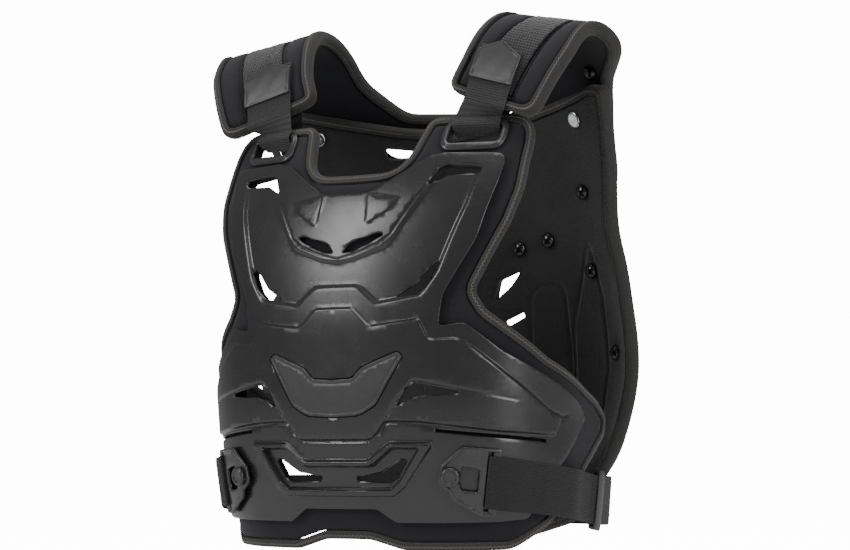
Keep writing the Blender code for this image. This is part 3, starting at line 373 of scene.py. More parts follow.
def flatSheet(outline, holes, lines, step):
    # the drawing as flat faces, cut into a grid that can bend
    points, edges = [], []
    for loop in [outline] + holes + lines:
        start = len(points)
        points += [Vector(p) for p in loop]
        edges += [(start + i, start + (i + 1) % len(loop)) for i in range(len(loop))]
    spots, _, faces, *_ = delaunay_2d_cdt(points, edges, [], 4, 1e-6)
    sheet = bmesh.new()
    sheet.loops.layers.uv.new("flat")
    corners = [sheet.verts.new((spot.x, spot.y, 0)) for spot in spots]
    for face in faces:
        sheet.faces.new([corners[i] for i in face])
    middles = []
    for face in sheet.faces:
        ring = [v.co for v in face.verts]
        cuts = [[ring[i] for i in cut] for cut in tessellate_polygon([ring])]
        widest = max(cuts, key=lambda cut: (cut[1] - cut[0]).cross(cut[2] - cut[0]).length)
        middles.append(tuple(sum(widest, Vector()) / 3)[:2])
    middles = np.array(middles)
    spare = ~insideLoop(middles, outline)
    for hole in holes:
        spare |= insideLoop(middles, hole)
    bmesh.ops.delete(sheet, geom=[f for f, out in zip(sheet.faces[:], spare) if out], context="FACES")
    for axis in range(2):
        low, high = (pick(v.co[axis] for v in sheet.verts) for pick in (min, max))
        count = math.ceil((high - low) / step)
        normal = Vector((axis == 0, axis == 1, 0))
        for i in range(1, count):
            bmesh.ops.bisect_plane(sheet, geom=sheet.verts[:] + sheet.edges[:] + sheet.faces[:], dist=2e-5,
                                   plane_co=normal * (low + (high - low) * i / count), plane_no=normal)
    bmesh.ops.recalc_face_normals(sheet, faces=sheet.faces[:])
    return sheet


def level(height):
    return lambda points: np.full(len(points), height)


def wrapSheet(sheet, place, inner, outer):
    # gives the flat sheet its thickness and lays it on a surface
    flatLayer = sheet.loops.layers.uv["flat"]
    for face in sheet.faces:
        for loop in face.loops:
            loop[flatLayer].uv = loop.vert.co.xy
    base = sheet.verts[:]
    made = bmesh.ops.extrude_face_region(sheet, geom=sheet.faces[:], use_keep_orig=True)
    raised = [v for v in made["geom"] if isinstance(v, bmesh.types.BMVert)]
    for corners, height in ((base, inner), (raised, outer)):
        flat = np.array([tuple(v.co.xy) for v in corners])
        for v, co in zip(corners, place(flat[:, 0], flat[:, 1], height(flat))):
            v.co = co
    return sheet


def wrapGrid(points, closedAcross=False, closedAlong=False, size=(1, 1)):
    # a grid laid through rows and columns of points, its open ends filled if it is a tube
    rows, columns = points.shape[0] - 1, points.shape[1] - 1
    made = bmesh.new()
    flatLayer = made.loops.layers.uv.new("flat")
    bmesh.ops.create_grid(made, x_segments=columns, y_segments=rows, size=1, calc_uvs=True)
    for face in made.faces:
        for loop in face.loops:
            uv = loop[flatLayer].uv
            loop[flatLayer].uv = (uv.x * size[0], uv.y * size[1])
    for v in made.verts:
        i, j = round((v.co.y + 1) / 2 * rows), round((v.co.x + 1) / 2 * columns)
        v.co = points[i, j]
    if closedAcross or closedAlong:
        bmesh.ops.remove_doubles(made, verts=made.verts[:], dist=1e-6)
    if closedAcross and not closedAlong:
        bmesh.ops.holes_fill(made, edges=[e for e in made.edges if e.is_boundary], sides=0)
    return made


def repeated(name, shape, turns):
    # one small shape laid once for each 4 x 4 matrix
    shape.verts.index_update()
    spots = np.array([(*v.co, 1) for v in shape.verts])
    faces = [[v.index for v in face.verts] for face in shape.faces]
    count = len(spots)
    laid = np.einsum("nij,vj->nvi", np.array(turns), spots)[..., :3].reshape(-1, 3)
    mesh = bpy.data.meshes.new(name)
    mesh.from_pydata(laid.tolist(), [],
                     [[i + turn * count for i in face] for turn in range(len(turns)) for face in faces])
    shape.free()
    return mesh


def linked(thing):
    bpy.context.scene.collection.objects.link(thing)
    return thing


def addPiece(name, made, finish, nodes=(), sharp=35):
    slotName, material = finishes[finish]
    if isinstance(made, bmesh.types.BMesh):
        if not len(made.loops.layers.uv):
            made.loops.layers.uv.new("flat")
        bmesh.ops.recalc_face_normals(made, faces=made.faces[:])
        if made.calc_volume(signed=True) < 0:
            bmesh.ops.reverse_faces(made, faces=made.faces[:])
        mesh = bpy.data.meshes.new(name)
        made.to_mesh(mesh)
        made.free()
    else:
        mesh = made
    mesh.shade_smooth()
    mesh.set_sharp_from_angle(angle=math.radians(sharp))
    mesh.materials.append(material)
    piece = linked(bpy.data.objects.new(name, mesh))
    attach(piece, "root")
    if nodes:
        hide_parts(*nodes)


# Materials. Weaves and ribs follow each piece's own flat map, in metres
def newFinish(name, colour, roughness, **sockets):
    finish = bpy.data.materials.new(name)
    finish.use_nodes = True
    shader = finish.node_tree.nodes["Principled BSDF"]
    shader.inputs["Base Color"].default_value = (*colour, 1)
    shader.inputs["Roughness"].default_value = roughness
    for socket, value in sockets.items():
        shader.inputs[socket.replace("_", " ")].default_value = value
    return finish, finish.node_tree, shader


def node(tree, kind, links=(), **values):
    made = tree.nodes.new(kind)
    for key, value in values.items():
        if hasattr(made, key):
            setattr(made, key, value)
        else:
            made.inputs[key.replace("_", " ")].default_value = value
    for socket, source in links:
        tree.links.new(source, made.inputs[socket])
    return made


def noise(tree, scale, detail=2.0, vector=None, roughness=0.5):
    links = [("Vector", vector)] if vector is not None else []
    made = node(tree, "ShaderNodeTexNoise", links, Scale=scale, Detail=detail, Roughness=roughness)
    return made.outputs["Fac"]


def objectPlace(tree):
    return node(tree, "ShaderNodeTexCoord").outputs["Object"]


def flatPlace(tree):
    return node(tree, "ShaderNodeUVMap", uv_map="flat").outputs["UV"]


def maths(tree, operation, a, b):
    made = node(tree, "ShaderNodeMath", operation=operation)
    for i, value in enumerate((a, b)):
        if isinstance(value, (int, float)):
            made.inputs[i].default_value = value
        else:
            tree.links.new(value, made.inputs[i])
    return made.outputs[0]


def wave(tree, vector, scale, direction, distortion=0.0):
    made = node(tree, "ShaderNodeTexWave", [("Vector", vector)], bands_direction=direction, Scale=scale)
    made.inputs["Distortion"].default_value = distortion
    return made.outputs["Fac"]


def bump(tree, shader, height, strength, depth, under=None):
    made = node(tree, "ShaderNodeBump", [("Height", height)])
    made.inputs["Strength"].default_value = strength
    made.inputs["Distance"].default_value = depth
    if under is not None:
        tree.links.new(under, made.inputs["Normal"])
    tree.links.new(made.outputs["Normal"], shader.inputs["Normal"])
    return made.outputs["Normal"]


def ranged(tree, value, low, high):
    return node(tree, "ShaderNodeMapRange", [("Value", value)], To_Min=low, To_Max=high).outputs["Result"]


def tinted(tree, shader, value, dark, light):
    ramp = node(tree, "ShaderNodeValToRGB", [("Fac", value)])
    ramp.color_ramp.elements[0].color = (*dark, 1)
    ramp.color_ramp.elements[1].color = (*light, 1)
    tree.links.new(ramp.outputs["Color"], shader.inputs["Base Color"])


def mouldedFinish(name, colour, roughness, grain):
    finish, tree, shader = newFinish(name, colour, roughness)
    place = objectPlace(tree)
    pores = noise(tree, 1500, 3, place, 0.6)
    blotch = noise(tree, 9, 3, place)
    tinted(tree, shader, blotch, [c * 0.85 for c in colour], [c * 1.15 for c in colour])
    rough = ranged(tree, noise(tree, 60, 4, place), roughness - 0.05, roughness + 0.07)
    tree.links.new(rough, shader.inputs["Roughness"])
    first = bump(tree, shader, pores, grain, 0.0002)
    bump(tree, shader, noise(tree, 28, 2, place), 0.10, 0.0010, first)
    return finish


def knitFinish(name, colour, roughness, pitch, depth, sheen=0.25, blotchy=0.25):
    finish, tree, shader = newFinish(name, colour, roughness, Sheen_Weight=sheen, Sheen_Roughness=0.5,
                                     Specular_IOR_Level=0.25)
    flat = flatPlace(tree)
    columns = wave(tree, flat, 0.32 / pitch, "X", 0.4)
    courses = wave(tree, flat, 0.32 / pitch, "Y", 0.4)
    knit = maths(tree, "MULTIPLY", columns, courses)
    fuzz = noise(tree, 900, 3, objectPlace(tree), 0.6)
    height = maths(tree, "ADD", knit, maths(tree, "MULTIPLY", fuzz, 0.8))
    blotch = noise(tree, 22, 4, objectPlace(tree))
    # the colour mixes random blotches of tone with the knit's relief: painted shade in the knit's hollows
    # and lighter painted loops on its raised stitches
    shade = maths(tree, "ADD", maths(tree, "MULTIPLY", blotch, 0.6), maths(tree, "MULTIPLY", knit, 0.5))
    tinted(tree, shader, shade, [c * (1 - blotchy) for c in colour], [c * (1 + blotchy) for c in colour])
    first = bump(tree, shader, height, 0.5, depth)
    bump(tree, shader, noise(tree, 45, 3, objectPlace(tree)), 0.25, 0.0015, first)
    return finish


def ribbedFinish(name, colour, roughness, pitch, direction, cross, depth, sheen=0.2):
    # ribs of one pitch, crossed by finer picks
    finish, tree, shader = newFinish(name, colour, roughness, Sheen_Weight=sheen, Sheen_Roughness=0.4,
                                     Specular_IOR_Level=0.3)
    flat = flatPlace(tree)
    ribs = wave(tree, flat, 0.32 / pitch, direction, 0.3)
    picks = wave(tree, flat, 0.32 / cross, "Y" if direction == "X" else "X", 0.6)
    weave = maths(tree, "MULTIPLY", ranged(tree, ribs, 0.35, 1), ranged(tree, picks, 0.5, 1))
    fuzz = noise(tree, 1100, 3, objectPlace(tree), 0.6)
    height = maths(tree, "ADD", weave, maths(tree, "MULTIPLY", fuzz, 0.35))
    # the base colour follows the weave's height: painted shade darkens its low grooves and a painted
    # highlight lightens its raised ribs, with the fuzz adding random tone
    tinted(tree, shader, height, [c * 0.45 for c in colour], [c * 1.45 for c in colour])
    bump(tree, shader, height, 0.8, depth)
    return finish


def plainFinish(name, colour, roughness, metallic=0.0, grain=0.1):
    finish, tree, shader = newFinish(name, colour, roughness, Metallic=metallic)
    place = objectPlace(tree)
    tree.links.new(ranged(tree, noise(tree, 140, 4, place), roughness * 0.85, roughness * 1.2),
                   shader.inputs["Roughness"])
    tinted(tree, shader, noise(tree, 35, 3, place), [c * 0.9 for c in colour], [c * 1.1 for c in colour])
    bump(tree, shader, noise(tree, 900, 3, place), grain, 0.0002)
    return finish


# each finish with its slot
finishes = {
    "shell": ("moulded_shell", mouldedFinish("moulded shell", (0.0145, 0.014, 0.014), 0.25, 0.18)),
    "backShell": ("moulded_shell", mouldedFinish("moulded back shell", (0.020, 0.019, 0.019), 0.36, 0.25)),
    "fittings": ("moulded_shell", mouldedFinish("moulded fittings", (0.022, 0.022, 0.022), 0.26, 0.15)),
    "rubber": ("black_rubber", plainFinish("black rubber", (0.020, 0.020, 0.021), 0.42, grain=0.2)),
    "domes": ("black_rubber", plainFinish("rivet rubber", (0.006, 0.006, 0.006), 0.16, grain=0.05)),
    "neoprene": ("navy_neoprene", knitFinish("navy neoprene", (0.0085, 0.0085, 0.0115), 0.88, 0.0012,
                                             0.0002, sheen=0.12)),
    "backKnit": ("black_knit", knitFinish("black knit", (0.017, 0.017, 0.018), 0.88, 0.0020, 0.0006,
                                          sheen=0.25)),
    "tape": ("edge_tape", ribbedFinish("edge tape", (0.028, 0.027, 0.026), 0.88, 0.0016, "Y", 0.0022,
                                       0.0005, sheen=0.12)),
    "thread": ("edge_tape", plainFinish("sewing thread", (0.13, 0.12, 0.105), 0.70, grain=0.3)),
    "webbing": ("woven_webbing", ribbedFinish("woven webbing", (0.019, 0.019, 0.0185), 0.68, 0.0034, "Y",
                                              0.0018, 0.0014, sheen=0.1)),
    "elastic": ("ribbed_elastic", ribbedFinish("ribbed elastic", (0.013, 0.013, 0.013), 0.80, 0.0022, "X",
                                               0.0014, 0.0007, sheen=0.1)),
    "loop": ("loop_strip", knitFinish("loop strip", (0.010, 0.010, 0.011), 1.0, 0.0030, 0.0012, sheen=0.35)),
    "silver": ("bright_steel", plainFinish("bright steel", (0.62, 0.63, 0.65), 0.22, metallic=1.0,
                                           grain=0.05)),
}
print("finishes ready:", len(finishes))

# The front shell: the outer face's height over the pad follows the drawn areas
shellValues = {"step": 0.0055, "rimRound": 0.0011, "windowLip": 0.0012, "crease": 0.0009,
               "creaseHalf": 0.0022, "emboss": 0.0008, "embossEdge": 0.0016}
# creases and the embossed shape of one side, in millimetres on the flat drawing
shellCreases = [
    [(85, -158), (74, -173), (62, -192), (54, -206), (44, -213), (29, -219), (14, -224), (0, -227)],
    [(127, -306), (210, -372), (227, -376)],
    [(56, -373), (68, -355), (81, -341), (87, -341), (123, -349), (172, -359)],
    [(0, -396), (34, -396), (47, -388), (53, -379), (68, -379), (98, -382)],
]
shellEmboss = [(24, -167), (25, -193), (28, -196), (34, -193), (50, -183), (60, -171)]


def ribbon(line, half):
    run = unit(np.gradient(line, axis=0))
    across = np.stack([-run[:, 1], run[:, 0]], 1) * half
    return np.vstack([line + across, (line - across)[::-1]])


def shellHeight():
    areas = (chestRecess, bellyPlate, lowerFrame, lowerRecess, badgeOutline)
    recess, plate, frameRim, lower, badge = (drawn(rows, reach["shell"]) for rows in areas)
    creases = [np.array(line) / 1000 * (side, 1) for line in shellCreases for side, _ in sides]
    there = [np.vstack([line, line[-2:0:-1]]) for line in creases]
    raised = [(np.array(shellEmboss) / 1000 * (side, 1))[::side] for side, _ in sides]

    def height(points):
        narrow = layers["plateChamfer"]
        rise = layers["border"] * (1 - within(points, recess, layers["frameChamfer"]))
        rise += (layers["plate"] - layers["border"]) * within(points, plate, narrow)
        rise += layers["frame"] * within(points, frameRim, narrow)
        rise -= (layers["frame"] + layers["border"]) * within(points, lower, narrow)
        rise -= layers["badge"] * within(points, badge, 0.001)
        rise -= shellValues["crease"] * (1 - smooth(rimDistance(points, there), shellValues["creaseHalf"]))
        for shape in raised:
            rise += shellValues["emboss"] * within(points, shape, shellValues["embossEdge"])
        return shellFloor + rise

    lines = []
    for loop, chamfer in ((recess, layers["frameChamfer"]), (plate, layers["plateChamfer"]),
                          (frameRim, layers["plateChamfer"]), (lower, layers["plateChamfer"])):
        lines += [loop] + [moved(loop, chamfer * s) for s in (0.25, 0.5, 0.75, 1)]
    lines += there + [ribbon(line, shellValues["creaseHalf"]) for line in creases]
    lines += raised + [moved(shape, shellValues["embossEdge"]) for shape in raised]
    return height, lines + [badge, moved(badge, 0.001)]


def makeShell():
    windows = []
    for window in (topWindow, crescentWindow, eyeWindow, sideWindow, lowerWindow, beltSlit):
        windows += windowPair(window, reach["shell"])
    outline = drawn(shellOutline, reach["shell"])
    height, lines = shellHeight()
    lines += [moved(outline, shellValues["rimRound"] * s) for s in (0.3, 1)]
    lines += [moved(loop, -shellValues["windowLip"]) for loop in windows]
    sheet = flatSheet(outline, windows, lines, shellValues["step"])

    def outer(points):
        rim = rimDistance(points, [outline] + windows)
        return height(points) - shellValues["rimRound"] * (1 - crown(rim, shellValues["rimRound"]))

    made = wrapSheet(sheet, onFront, lambda points: height(points) - layers["shell"], outer)
    addPiece("chestShell", made, "shell", ["front_shell"])


makeShell()
print("front shell made")


# The rubber plate in the shell's V-shaped recess, with plain pressed lines
badgeValues = {"step": 0.004, "clear": 0.0014, "groove": 0.0004, "lineAt": 0.0032, "chevronPitch": 0.016}


def makeBadge():
    outline = moved(drawn(badgeOutline, reach["shell"]), badgeValues["clear"])
    lines = [moved(outline, d) for d in (0.0005, 0.0026, badgeValues["lineAt"], 0.0038)]
    sheet = flatSheet(outline, [], lines, badgeValues["step"])
    floor = shellFloor + layers["plate"] - layers["badge"] + layers["gap"]

    def outer(points):
        rim = loopDistance(points, outline)
        pressed = 1 - np.clip(np.abs(rim - badgeValues["lineAt"]) / 0.0006, 0, 1)
        pitch, rise = badgeValues["chevronPitch"], np.abs(points[:, 0]) * 0.8 + points[:, 1]
        chevrons = 1 - smooth(np.abs((rise % pitch) - pitch / 2), 0.0012)
        chevrons *= smooth(rim - 0.005, 0.001)
        top = floor + layers["badge"] - 0.0005 * (1 - crown(rim, 0.0005))
        return top - badgeValues["groove"] * (pressed + 0.8 * chevrons)

    made = wrapSheet(sheet, onFront, level(floor), outer)
    addPiece("vPlate", made, "rubber", ["badge_plate"])


makeBadge()


# Padded panels: flat foam with rounded rims, cut to end under their edge tape
padValues = {"step": 0.0065, "rimRound": 0.006, "rimDrop": 0.0022, "ripple": 0.00015, "rippleSize": 0.02,
             "rims": (0.001, 0.003, 0.006), "seat": 0.0003, "windowRoom": 0.003, "fill": 0.9}


def ripples(points, size, amount):
    # soft unevenness of a foam panel's face
    x, y = points[:, 0] / size, points[:, 1] / size
    return amount * (np.sin(2.1 * x + 1.3 * np.sin(1.7 * y)) + np.sin(2.9 * y + 1.1 * np.sin(2.3 * x + 1)))


def padInside(loop):
    return moved(loop, layers["tapeWidth"] + layers["tapeGap"])


def padRim(points, rims):
    # how far the face has dropped towards the rims
    return padValues["rimDrop"] * (1 - crown(rimDistance(points, rims), padValues["rimRound"]))


def makeFrontPad():
    outline = padInside(drawn(frontPadOutline, reach["frontPad"]))
    windows = []
    for window in (topWindow, crescentWindow, sideWindow, lowerWindow):
        windows += [moved(loop, -padValues["windowRoom"]) for loop in windowPair(window, reach["shell"])]
    windows += ringSlots()
    rims = [outline] + windows
    lines = [moved(outline, d) for d in padValues["rims"]]
    sheet = flatSheet(outline, windows, lines, padValues["step"])

    def outer(points):
        size = padValues["rippleSize"]
        ripple = ripples(points, size, padValues["ripple"]) * smooth(rimDistance(points, rims), size)
        return -padRim(points, rims) + ripple - padValues["seat"]

    def inner(points):
        return -layers["frontPad"] + padRim(points, rims)

    made = wrapSheet(sheet, onFront, inner, outer)
    addPiece("chestPad", made, "neoprene", ["front_pad"])


# Fittings' sizes, shared by the pieces that meet
fitting = {
    "ringAt": (0.352 * 0.325, -0.223 * 0.5), "webbing": 0.047, "webbingThick": 0.0018,
    "ringBar": 0.007, "ringHeight": 0.031, "slotClear": 0.0015, "slotRound": 0.0045, "ringThick": 0.003,
    "elastic": 0.049, "elasticThick": 0.0020, "buttonAt": (0.420 * 0.268, -0.856 * 0.5),
    "buttonRadius": 0.009, "buttonHead": 0.004, "hookThick": 0.003, "hookTilt": math.radians(-9.5),
}
ringWidth = fitting["webbing"] + 2 * (fitting["slotClear"] + fitting["ringBar"])
ringFloor = layers["tapeProud"] + layers["gap"]
beltTop = shellFloor + layers["border"]
hookFloor = beltTop + fitting["elasticThick"] + layers["panelGap"] + layers["gap"]
hookTop = hookFloor + fitting["hookThick"]
elasticOuter = hookTop + 2 * layers["gap"] + fitting["elasticThick"] / 2


def slotLoop(side, width, height, radius):
    x, y = fitting["ringAt"][0] * side, fitting["ringAt"][1]
    corners = ((1, -1), (1, 1), (-1, 1), (-1, -1))
    return roundCorners([(x + a * width / 2, y + b * height / 2, radius) for a, b in corners])


def ringSlots():
    bar = 2 * fitting["ringBar"]
    return [slotLoop(side, ringWidth - bar, fitting["ringHeight"] - bar, fitting["slotRound"])
            for side, _ in sides]


makeFrontPad()
print("front pad made")

# The back pad's inner face carries pressed channels round its finger-shaped panels
backPadWindows = [
    [(0.205, 0.210, 0.010), (0.340, 0.202, 0.014), (0.345, 0.226, 0.014), (0.215, 0.228, 0.010)],
    [(0.085, 0.524, 0.004), (0.110, 0.482, 0.020), (0.230, 0.462, 0.004), (0.175, 0.492, 0.020)],
    [(0.115, 0.566, 0.003), (0.225, 0.545, 0.003), (0.235, 0.556, 0.003), (0.150, 0.575, 0.003)],
]
# metres across and down, closed loops on the wearer's left
backPressed = [
    [(0.067, 0.250, 0.02), (0.108, 0.242, 0.02), (0.115, 0.330, 0.02), (0.100, 0.440, 0.03),
     (0.060, 0.440, 0.03)],
    [(0.144, 0.204, 0.004), (0.162, 0.262, 0.02), (0.168, 0.330, 0.03), (0.150, 0.420, 0.03),
     (0.122, 0.420, 0.03), (0.118, 0.290, 0.03)],
]
backPadValues = {"step": 0.0065, "groove": 0.0016, "grooveWidth": 0.0035, "ripple": 0.00012,
                 "grooveLines": (-0.0035, -0.0015, 0.0015, 0.0035)}


def makeBackPad():
    outline = padInside(drawn(backPadOutline, reach["backPad"]))
    windows = [loop for rows in backPadWindows for loop in windowPair(rows, reach["backPad"])]
    pressed = []
    for rows in backPressed:
        pressed += mirrorPair(roundCorners([(x, -y, r) for x, y, r in rows]))
    rims = [outline] + windows
    lines = [moved(outline, d) for d in padValues["rims"]]
    for loop in pressed:
        lines += [moved(loop, d) for d in backPadValues["grooveLines"]]
    sheet = flatSheet(outline, windows, lines, backPadValues["step"])

    def inner(points):
        groove = 1 - smooth(rimDistance(points, pressed), backPadValues["grooveWidth"])
        low = padValues["seat"] + padRim(points, rims)
        return low + backPadValues["groove"] * groove + ripples(points, 0.03, backPadValues["ripple"])

    def outer(points):
        return layers["backPad"] - padRim(points, rims) - padValues["seat"]

    made = wrapSheet(sheet, onBack, inner, outer)
    addPiece("spinePad", made, "backKnit", ["back_pad"])


makeBackPad()
print("back pad made")

# The back shell: plain, with a raised middle and side ribs
backShellValues = {"step": 0.007, "rib": 0.0016, "slope": 0.003, "border": 0.014, "rimRound": 0.0011,
                   "stepFrom": 0.40, "stepLong": 0.12}
backSpine = [(0.030, -0.150, 0.01), (0.045, -0.300, 0.02), (0.030, -0.455, 0.01),
             (-0.030, -0.455, 0.01), (-0.045, -0.300, 0.02), (-0.030, -0.150, 0.01)]


def makeBackShell():
    outline = drawn(backShellOutline, reach["backShell"])
    windows = []
    for rows in backPadWindows[1:]:
        windows += [moved(loop, -0.002) for loop in windowPair(rows, reach["backPad"])]
    middle, spine = moved(outline, backShellValues["border"]), roundCorners(backSpine)
    lines = [moved(outline, d) for d in (0.0004, 0.0011)]
    lines += [moved(middle, d) for d in (0.0001, 0.0015, 0.003)]
    lines += [moved(spine, d) for d in (0.0001, 0.003)]
    sheet = flatSheet(outline, windows, lines, backShellValues["step"])

    def floor(points):
        # it steps out over the yoke's foot
        rise = points[:, 1] / torso["height"]
        over = smooth(backShellValues["stepFrom"] + rise, backShellValues["stepLong"])
        return yokeForm["layer"] + over * (layers["yoke"] + layers["tapeProud"] + layers["panelGap"])

    def outer(points):
        rim, small = rimDistance(points, [outline] + windows), backShellValues["rimRound"]
        top = floor(points) + layers["shell"] - small * (1 - crown(rim, small))
        slope = backShellValues["slope"]
        ribs = within(points, middle, slope) - within(points, spine, slope)
        return top + backShellValues["rib"] * ribs * 0.5

    made = wrapSheet(sheet, onBack, floor, outer)
    addPiece("spineShell", made, "backShell", ["back_shell"])


makeBackShell()
print("back shell made")

# The shoulder yoke: a foam panel with two raised cushions beside each channel
yokeValues = {"step": 0.0065, "rimDrop": 0.0035, "rimRound": 0.010, "shoulder": 0.0018,
              "shoulderRound": 0.006, "underDrop": 0.002, "seat": 0.0002, "stripStep": 0.0035,
              "pile": 0.0013, "tuft": 0.0002}


def makeYoke():
    outline = drawn(yokeOutline, reach["yoke"], height=archLength)
    inner = padInside(outline)
    channels = mirrorPair(drawn(yokeChannel, reach["yoke"], mirrored=False, height=archLength))
    lines = [moved(inner, d) for d in (0.0015, 0.004, 0.010)]
    for loop in channels:
        lines += [loop] + [moved(loop, layers["channel"] * s) for s in (0.3, 0.7, 1)]
    sheet = flatSheet(inner, [], lines, yokeValues["step"])

    def top(points):
        sunk = np.max([within(points, loop, layers["channel"]) for loop in channels], axis=0)
        rim = loopDistance(points, inner)
        rounded = yokeValues["rimDrop"] * (1 - crown(rim, yokeValues["rimRound"]))
        shoulder = 1 - crown(rimDistance(points, channels), yokeValues["shoulderRound"])
        shoulder *= yokeValues["shoulder"] * (sunk < 0.001)
        return layers["yoke"] - rounded - layers["channel"] * sunk - shoulder - yokeValues["seat"]

    def low(points):
        under = 1 - crown(loopDistance(points, inner), yokeValues["shoulderRound"])
        return yokeValues["seat"] + yokeValues["underDrop"] * under

    made = wrapSheet(sheet, onYoke, low, top)
    addPiece("shoulderPads", made, "neoprene", ["shoulder_yoke"])
    for channel, (_, word) in zip(channels, sides):
        strip = moved(channel, layers["channel"] + layers["panelGap"])
        sheet = flatSheet(strip, [], [moved(strip, 0.001)], yokeValues["stripStep"])
        floor = layers["yoke"] - layers["channel"] + layers["panelGap"]

        def fluffy(points):
            amount, rim = yokeValues["tuft"], loopDistance(points, strip)
            tuft = ripples(points, 0.0035, amount) + ripples(points[:, ::-1], 0.0021, amount)
            return floor + yokeValues["pile"] + tuft - 0.0008 * (1 - crown(rim, 0.0015))

        made = wrapSheet(sheet, onYoke, level(floor), fluffy)
        addPiece("fluffStrip_" + word, made, "loop", ["loop_strip_" + word])


makeYoke()
print("shoulder yoke made")

# Edge tapes, folded round each panel's rim, with a zigzag of stitches down their middle
tapeValues = {"step": 0.0045, "round": 0.0034, "dip": 0.00035, "stitch": 0.0036, "pitch": 0.0021,
              "thread": 0.00042, "sunk": -0.00025, "line": 0.52, "shoulder": 0.64, "lean": 0.78}


def makeTape(name, nodeName, loop, place, inner, outer):
    points, inward, length = evenly(loop, tapeValues["step"])
    width, low, high = layers["tapeWidth"], inner - layers["tapeProud"], outer + layers["tapeProud"]
    middle, half = (low + high) / 2, (high - low) / 2
    line, shoulder = tapeValues["line"] * width, tapeValues["shoulder"] * width
    section = [(width, low), (shoulder, low), (line, low + tapeValues["dip"])]
    for a in np.radians(np.linspace(-80, 80, 9)):
        section.append((tapeValues["round"] * (1 - math.cos(a)), middle + half * math.sin(a)))
    section += [(line, high - tapeValues["dip"]), (shoulder, high), (width, high), (width, low)]
    grid = np.stack([place(*(points + inward * d).T, proud) for d, proud in section], 1)
    grid = np.concatenate([grid, grid[:1]])
    made = wrapGrid(grid, closedAcross=True, closedAlong=True, size=(2 * width + high - low, length))
    addPiece(name, made, "tape", [nodeName])
    points, inward, length = evenly(loop, tapeValues["pitch"])
    stitch, turns = bmesh.new(), []
    bmesh.ops.create_uvsphere(stitch, u_segments=6, v_segments=4, radius=1)
    for face, lift in ((high, 1), (low, -1)):
        spot = points + inward * tapeValues["line"] * width
        here = place(*spot.T, face + lift * tapeValues["sunk"])
        above = place(*spot.T, face + lift * 0.001)
        edge = place(*points.T, face)
        for i in range(len(spot)):
            normal = Vector(above[i] - here[i]).normalized()
            run = normal.cross(Vector(edge[i] - here[i])).normalized()
            lean = run * 0.62 + run.cross(normal) * (tapeValues["lean"] if i % 2 else -tapeValues["lean"])
            turn = Matrix((lean * tapeValues["stitch"] / 2, normal.cross(lean) * tapeValues["thread"],
                           normal * tapeValues["thread"])).transposed()
            turns.append(Matrix.Translation(here[i]) @ turn.to_4x4())
    stitches = repeated(name + "Stitches", stitch, turns)
    addPiece(name + "Stitches", stitches, "thread")


for name, nodeName, loop, place, inner, outer in (
        ("chestTape", "front_pad_binding", drawn(frontPadOutline, reach["frontPad"]), onFront,
         -layers["frontPad"], 0),
        ("spineTape", "back_pad_binding", drawn(backPadOutline, reach["backPad"]), onBack,
         0, layers["backPad"]),
        ("shoulderTape", "shoulder_yoke_binding", drawn(yokeOutline, reach["yoke"], height=archLength),
         onYoke, 0, layers["yoke"])):
    makeTape(name, nodeName, loop, place, inner, outer)
print("edge tapes made")

# Slotted rings that the webbing turns round
ringValues = {"step": 0.004, "lip": 0.0008, "dome": 0.0022}


def makeRing(side, word):
    outline = slotLoop(side, ringWidth, fitting["ringHeight"], 0.49 * fitting["ringHeight"])
    bar = fitting["ringBar"]
    slot = slotLoop(side, ringWidth - 2 * bar, fitting["ringHeight"] - 2 * bar, fitting["slotRound"])
    lines = [moved(outline, d) for d in (0.0004, 0.0012, 0.0022, 0.003)]
    lines += [moved(slot, -d) for d in (0.0004, 0.0012, 0.002)]
    sheet = flatSheet(outline, [slot], lines, ringValues["step"])

    def outer(points):
        outside, hole = loopDistance(points, outline), loopDistance(points, slot)
        dome, lip = ringValues["dome"], ringValues["lip"]
        bulge = 0.6 * crown(np.minimum(outside, hole), dome) + 0.4 * smooth(outside - dome, lip)
        return ringFloor + lip + (fitting["ringThick"] - lip) * bulge

    made = wrapSheet(sheet, onFront, level(ringFloor), outer)
    addPiece("ring_" + word, made, "fittings", ["slot_ring_" + word])


# Flat straps: a rounded section run through the stations of their two edges
strapEdge = 0.55    # how thick the outermost line is, as a share of the strap


def strapGrid(edges, thickness, columns=10, rowsEach=4):
    edges = np.array(edges)
    rows = []
    count = len(edges)
    for i in range(count - 1):
        a, b = edges[max(i - 1, 0)], edges[i]
        c, d = edges[i + 1], edges[min(i + 2, count - 1)]
        for s in np.linspace(0, 1, rowsEach, endpoint=False):
            near = min(np.linalg.norm(b - a), np.linalg.norm(d - c)) < 0.4 * np.linalg.norm(c - b)
            curve = b + s * (c - b) if near or i in (0, count - 2) else 0.5 * (
                2 * b + (c - a) * s + (2 * a - 5 * b + 4 * c - d) * s**2 + (3 * b - 3 * c + d - a) * s**3)
            rows.append(curve)
    rows.append(edges[-1])
    rows = np.array(rows)
    middle = rows.mean(axis=1)
    run = unit(np.gradient(middle, axis=0))
    widths = unit(rows[:, 0] - rows[:, 1])
    normal = unit(np.cross(run, widths))
    half = thickness / 2
    inset = half / np.linalg.norm(rows[:, 0] - rows[:, 1], axis=1)
    shares = [(t, 1) for t in np.linspace(0, 1, columns)] + [(t, -1) for t in np.linspace(1, 0, columns)]
    grid = []
    for t, face in shares + shares[:1]:
        s = inset + (1 - 2 * inset) * t
        centre = rows[:, 0] * (1 - s)[:, None] + rows[:, 1] * s[:, None]
        thinner = strapEdge if t in (0, 1) else 1
        grid.append(centre + normal * half * face * thinner)
    length = np.sum(np.linalg.norm(np.diff(middle, axis=0), axis=1))
    wide = np.linalg.norm(rows[0, 0] - rows[0, 1])
    return wrapGrid(np.stack(grid, 1), closedAcross=True, size=(2 * wide, length))


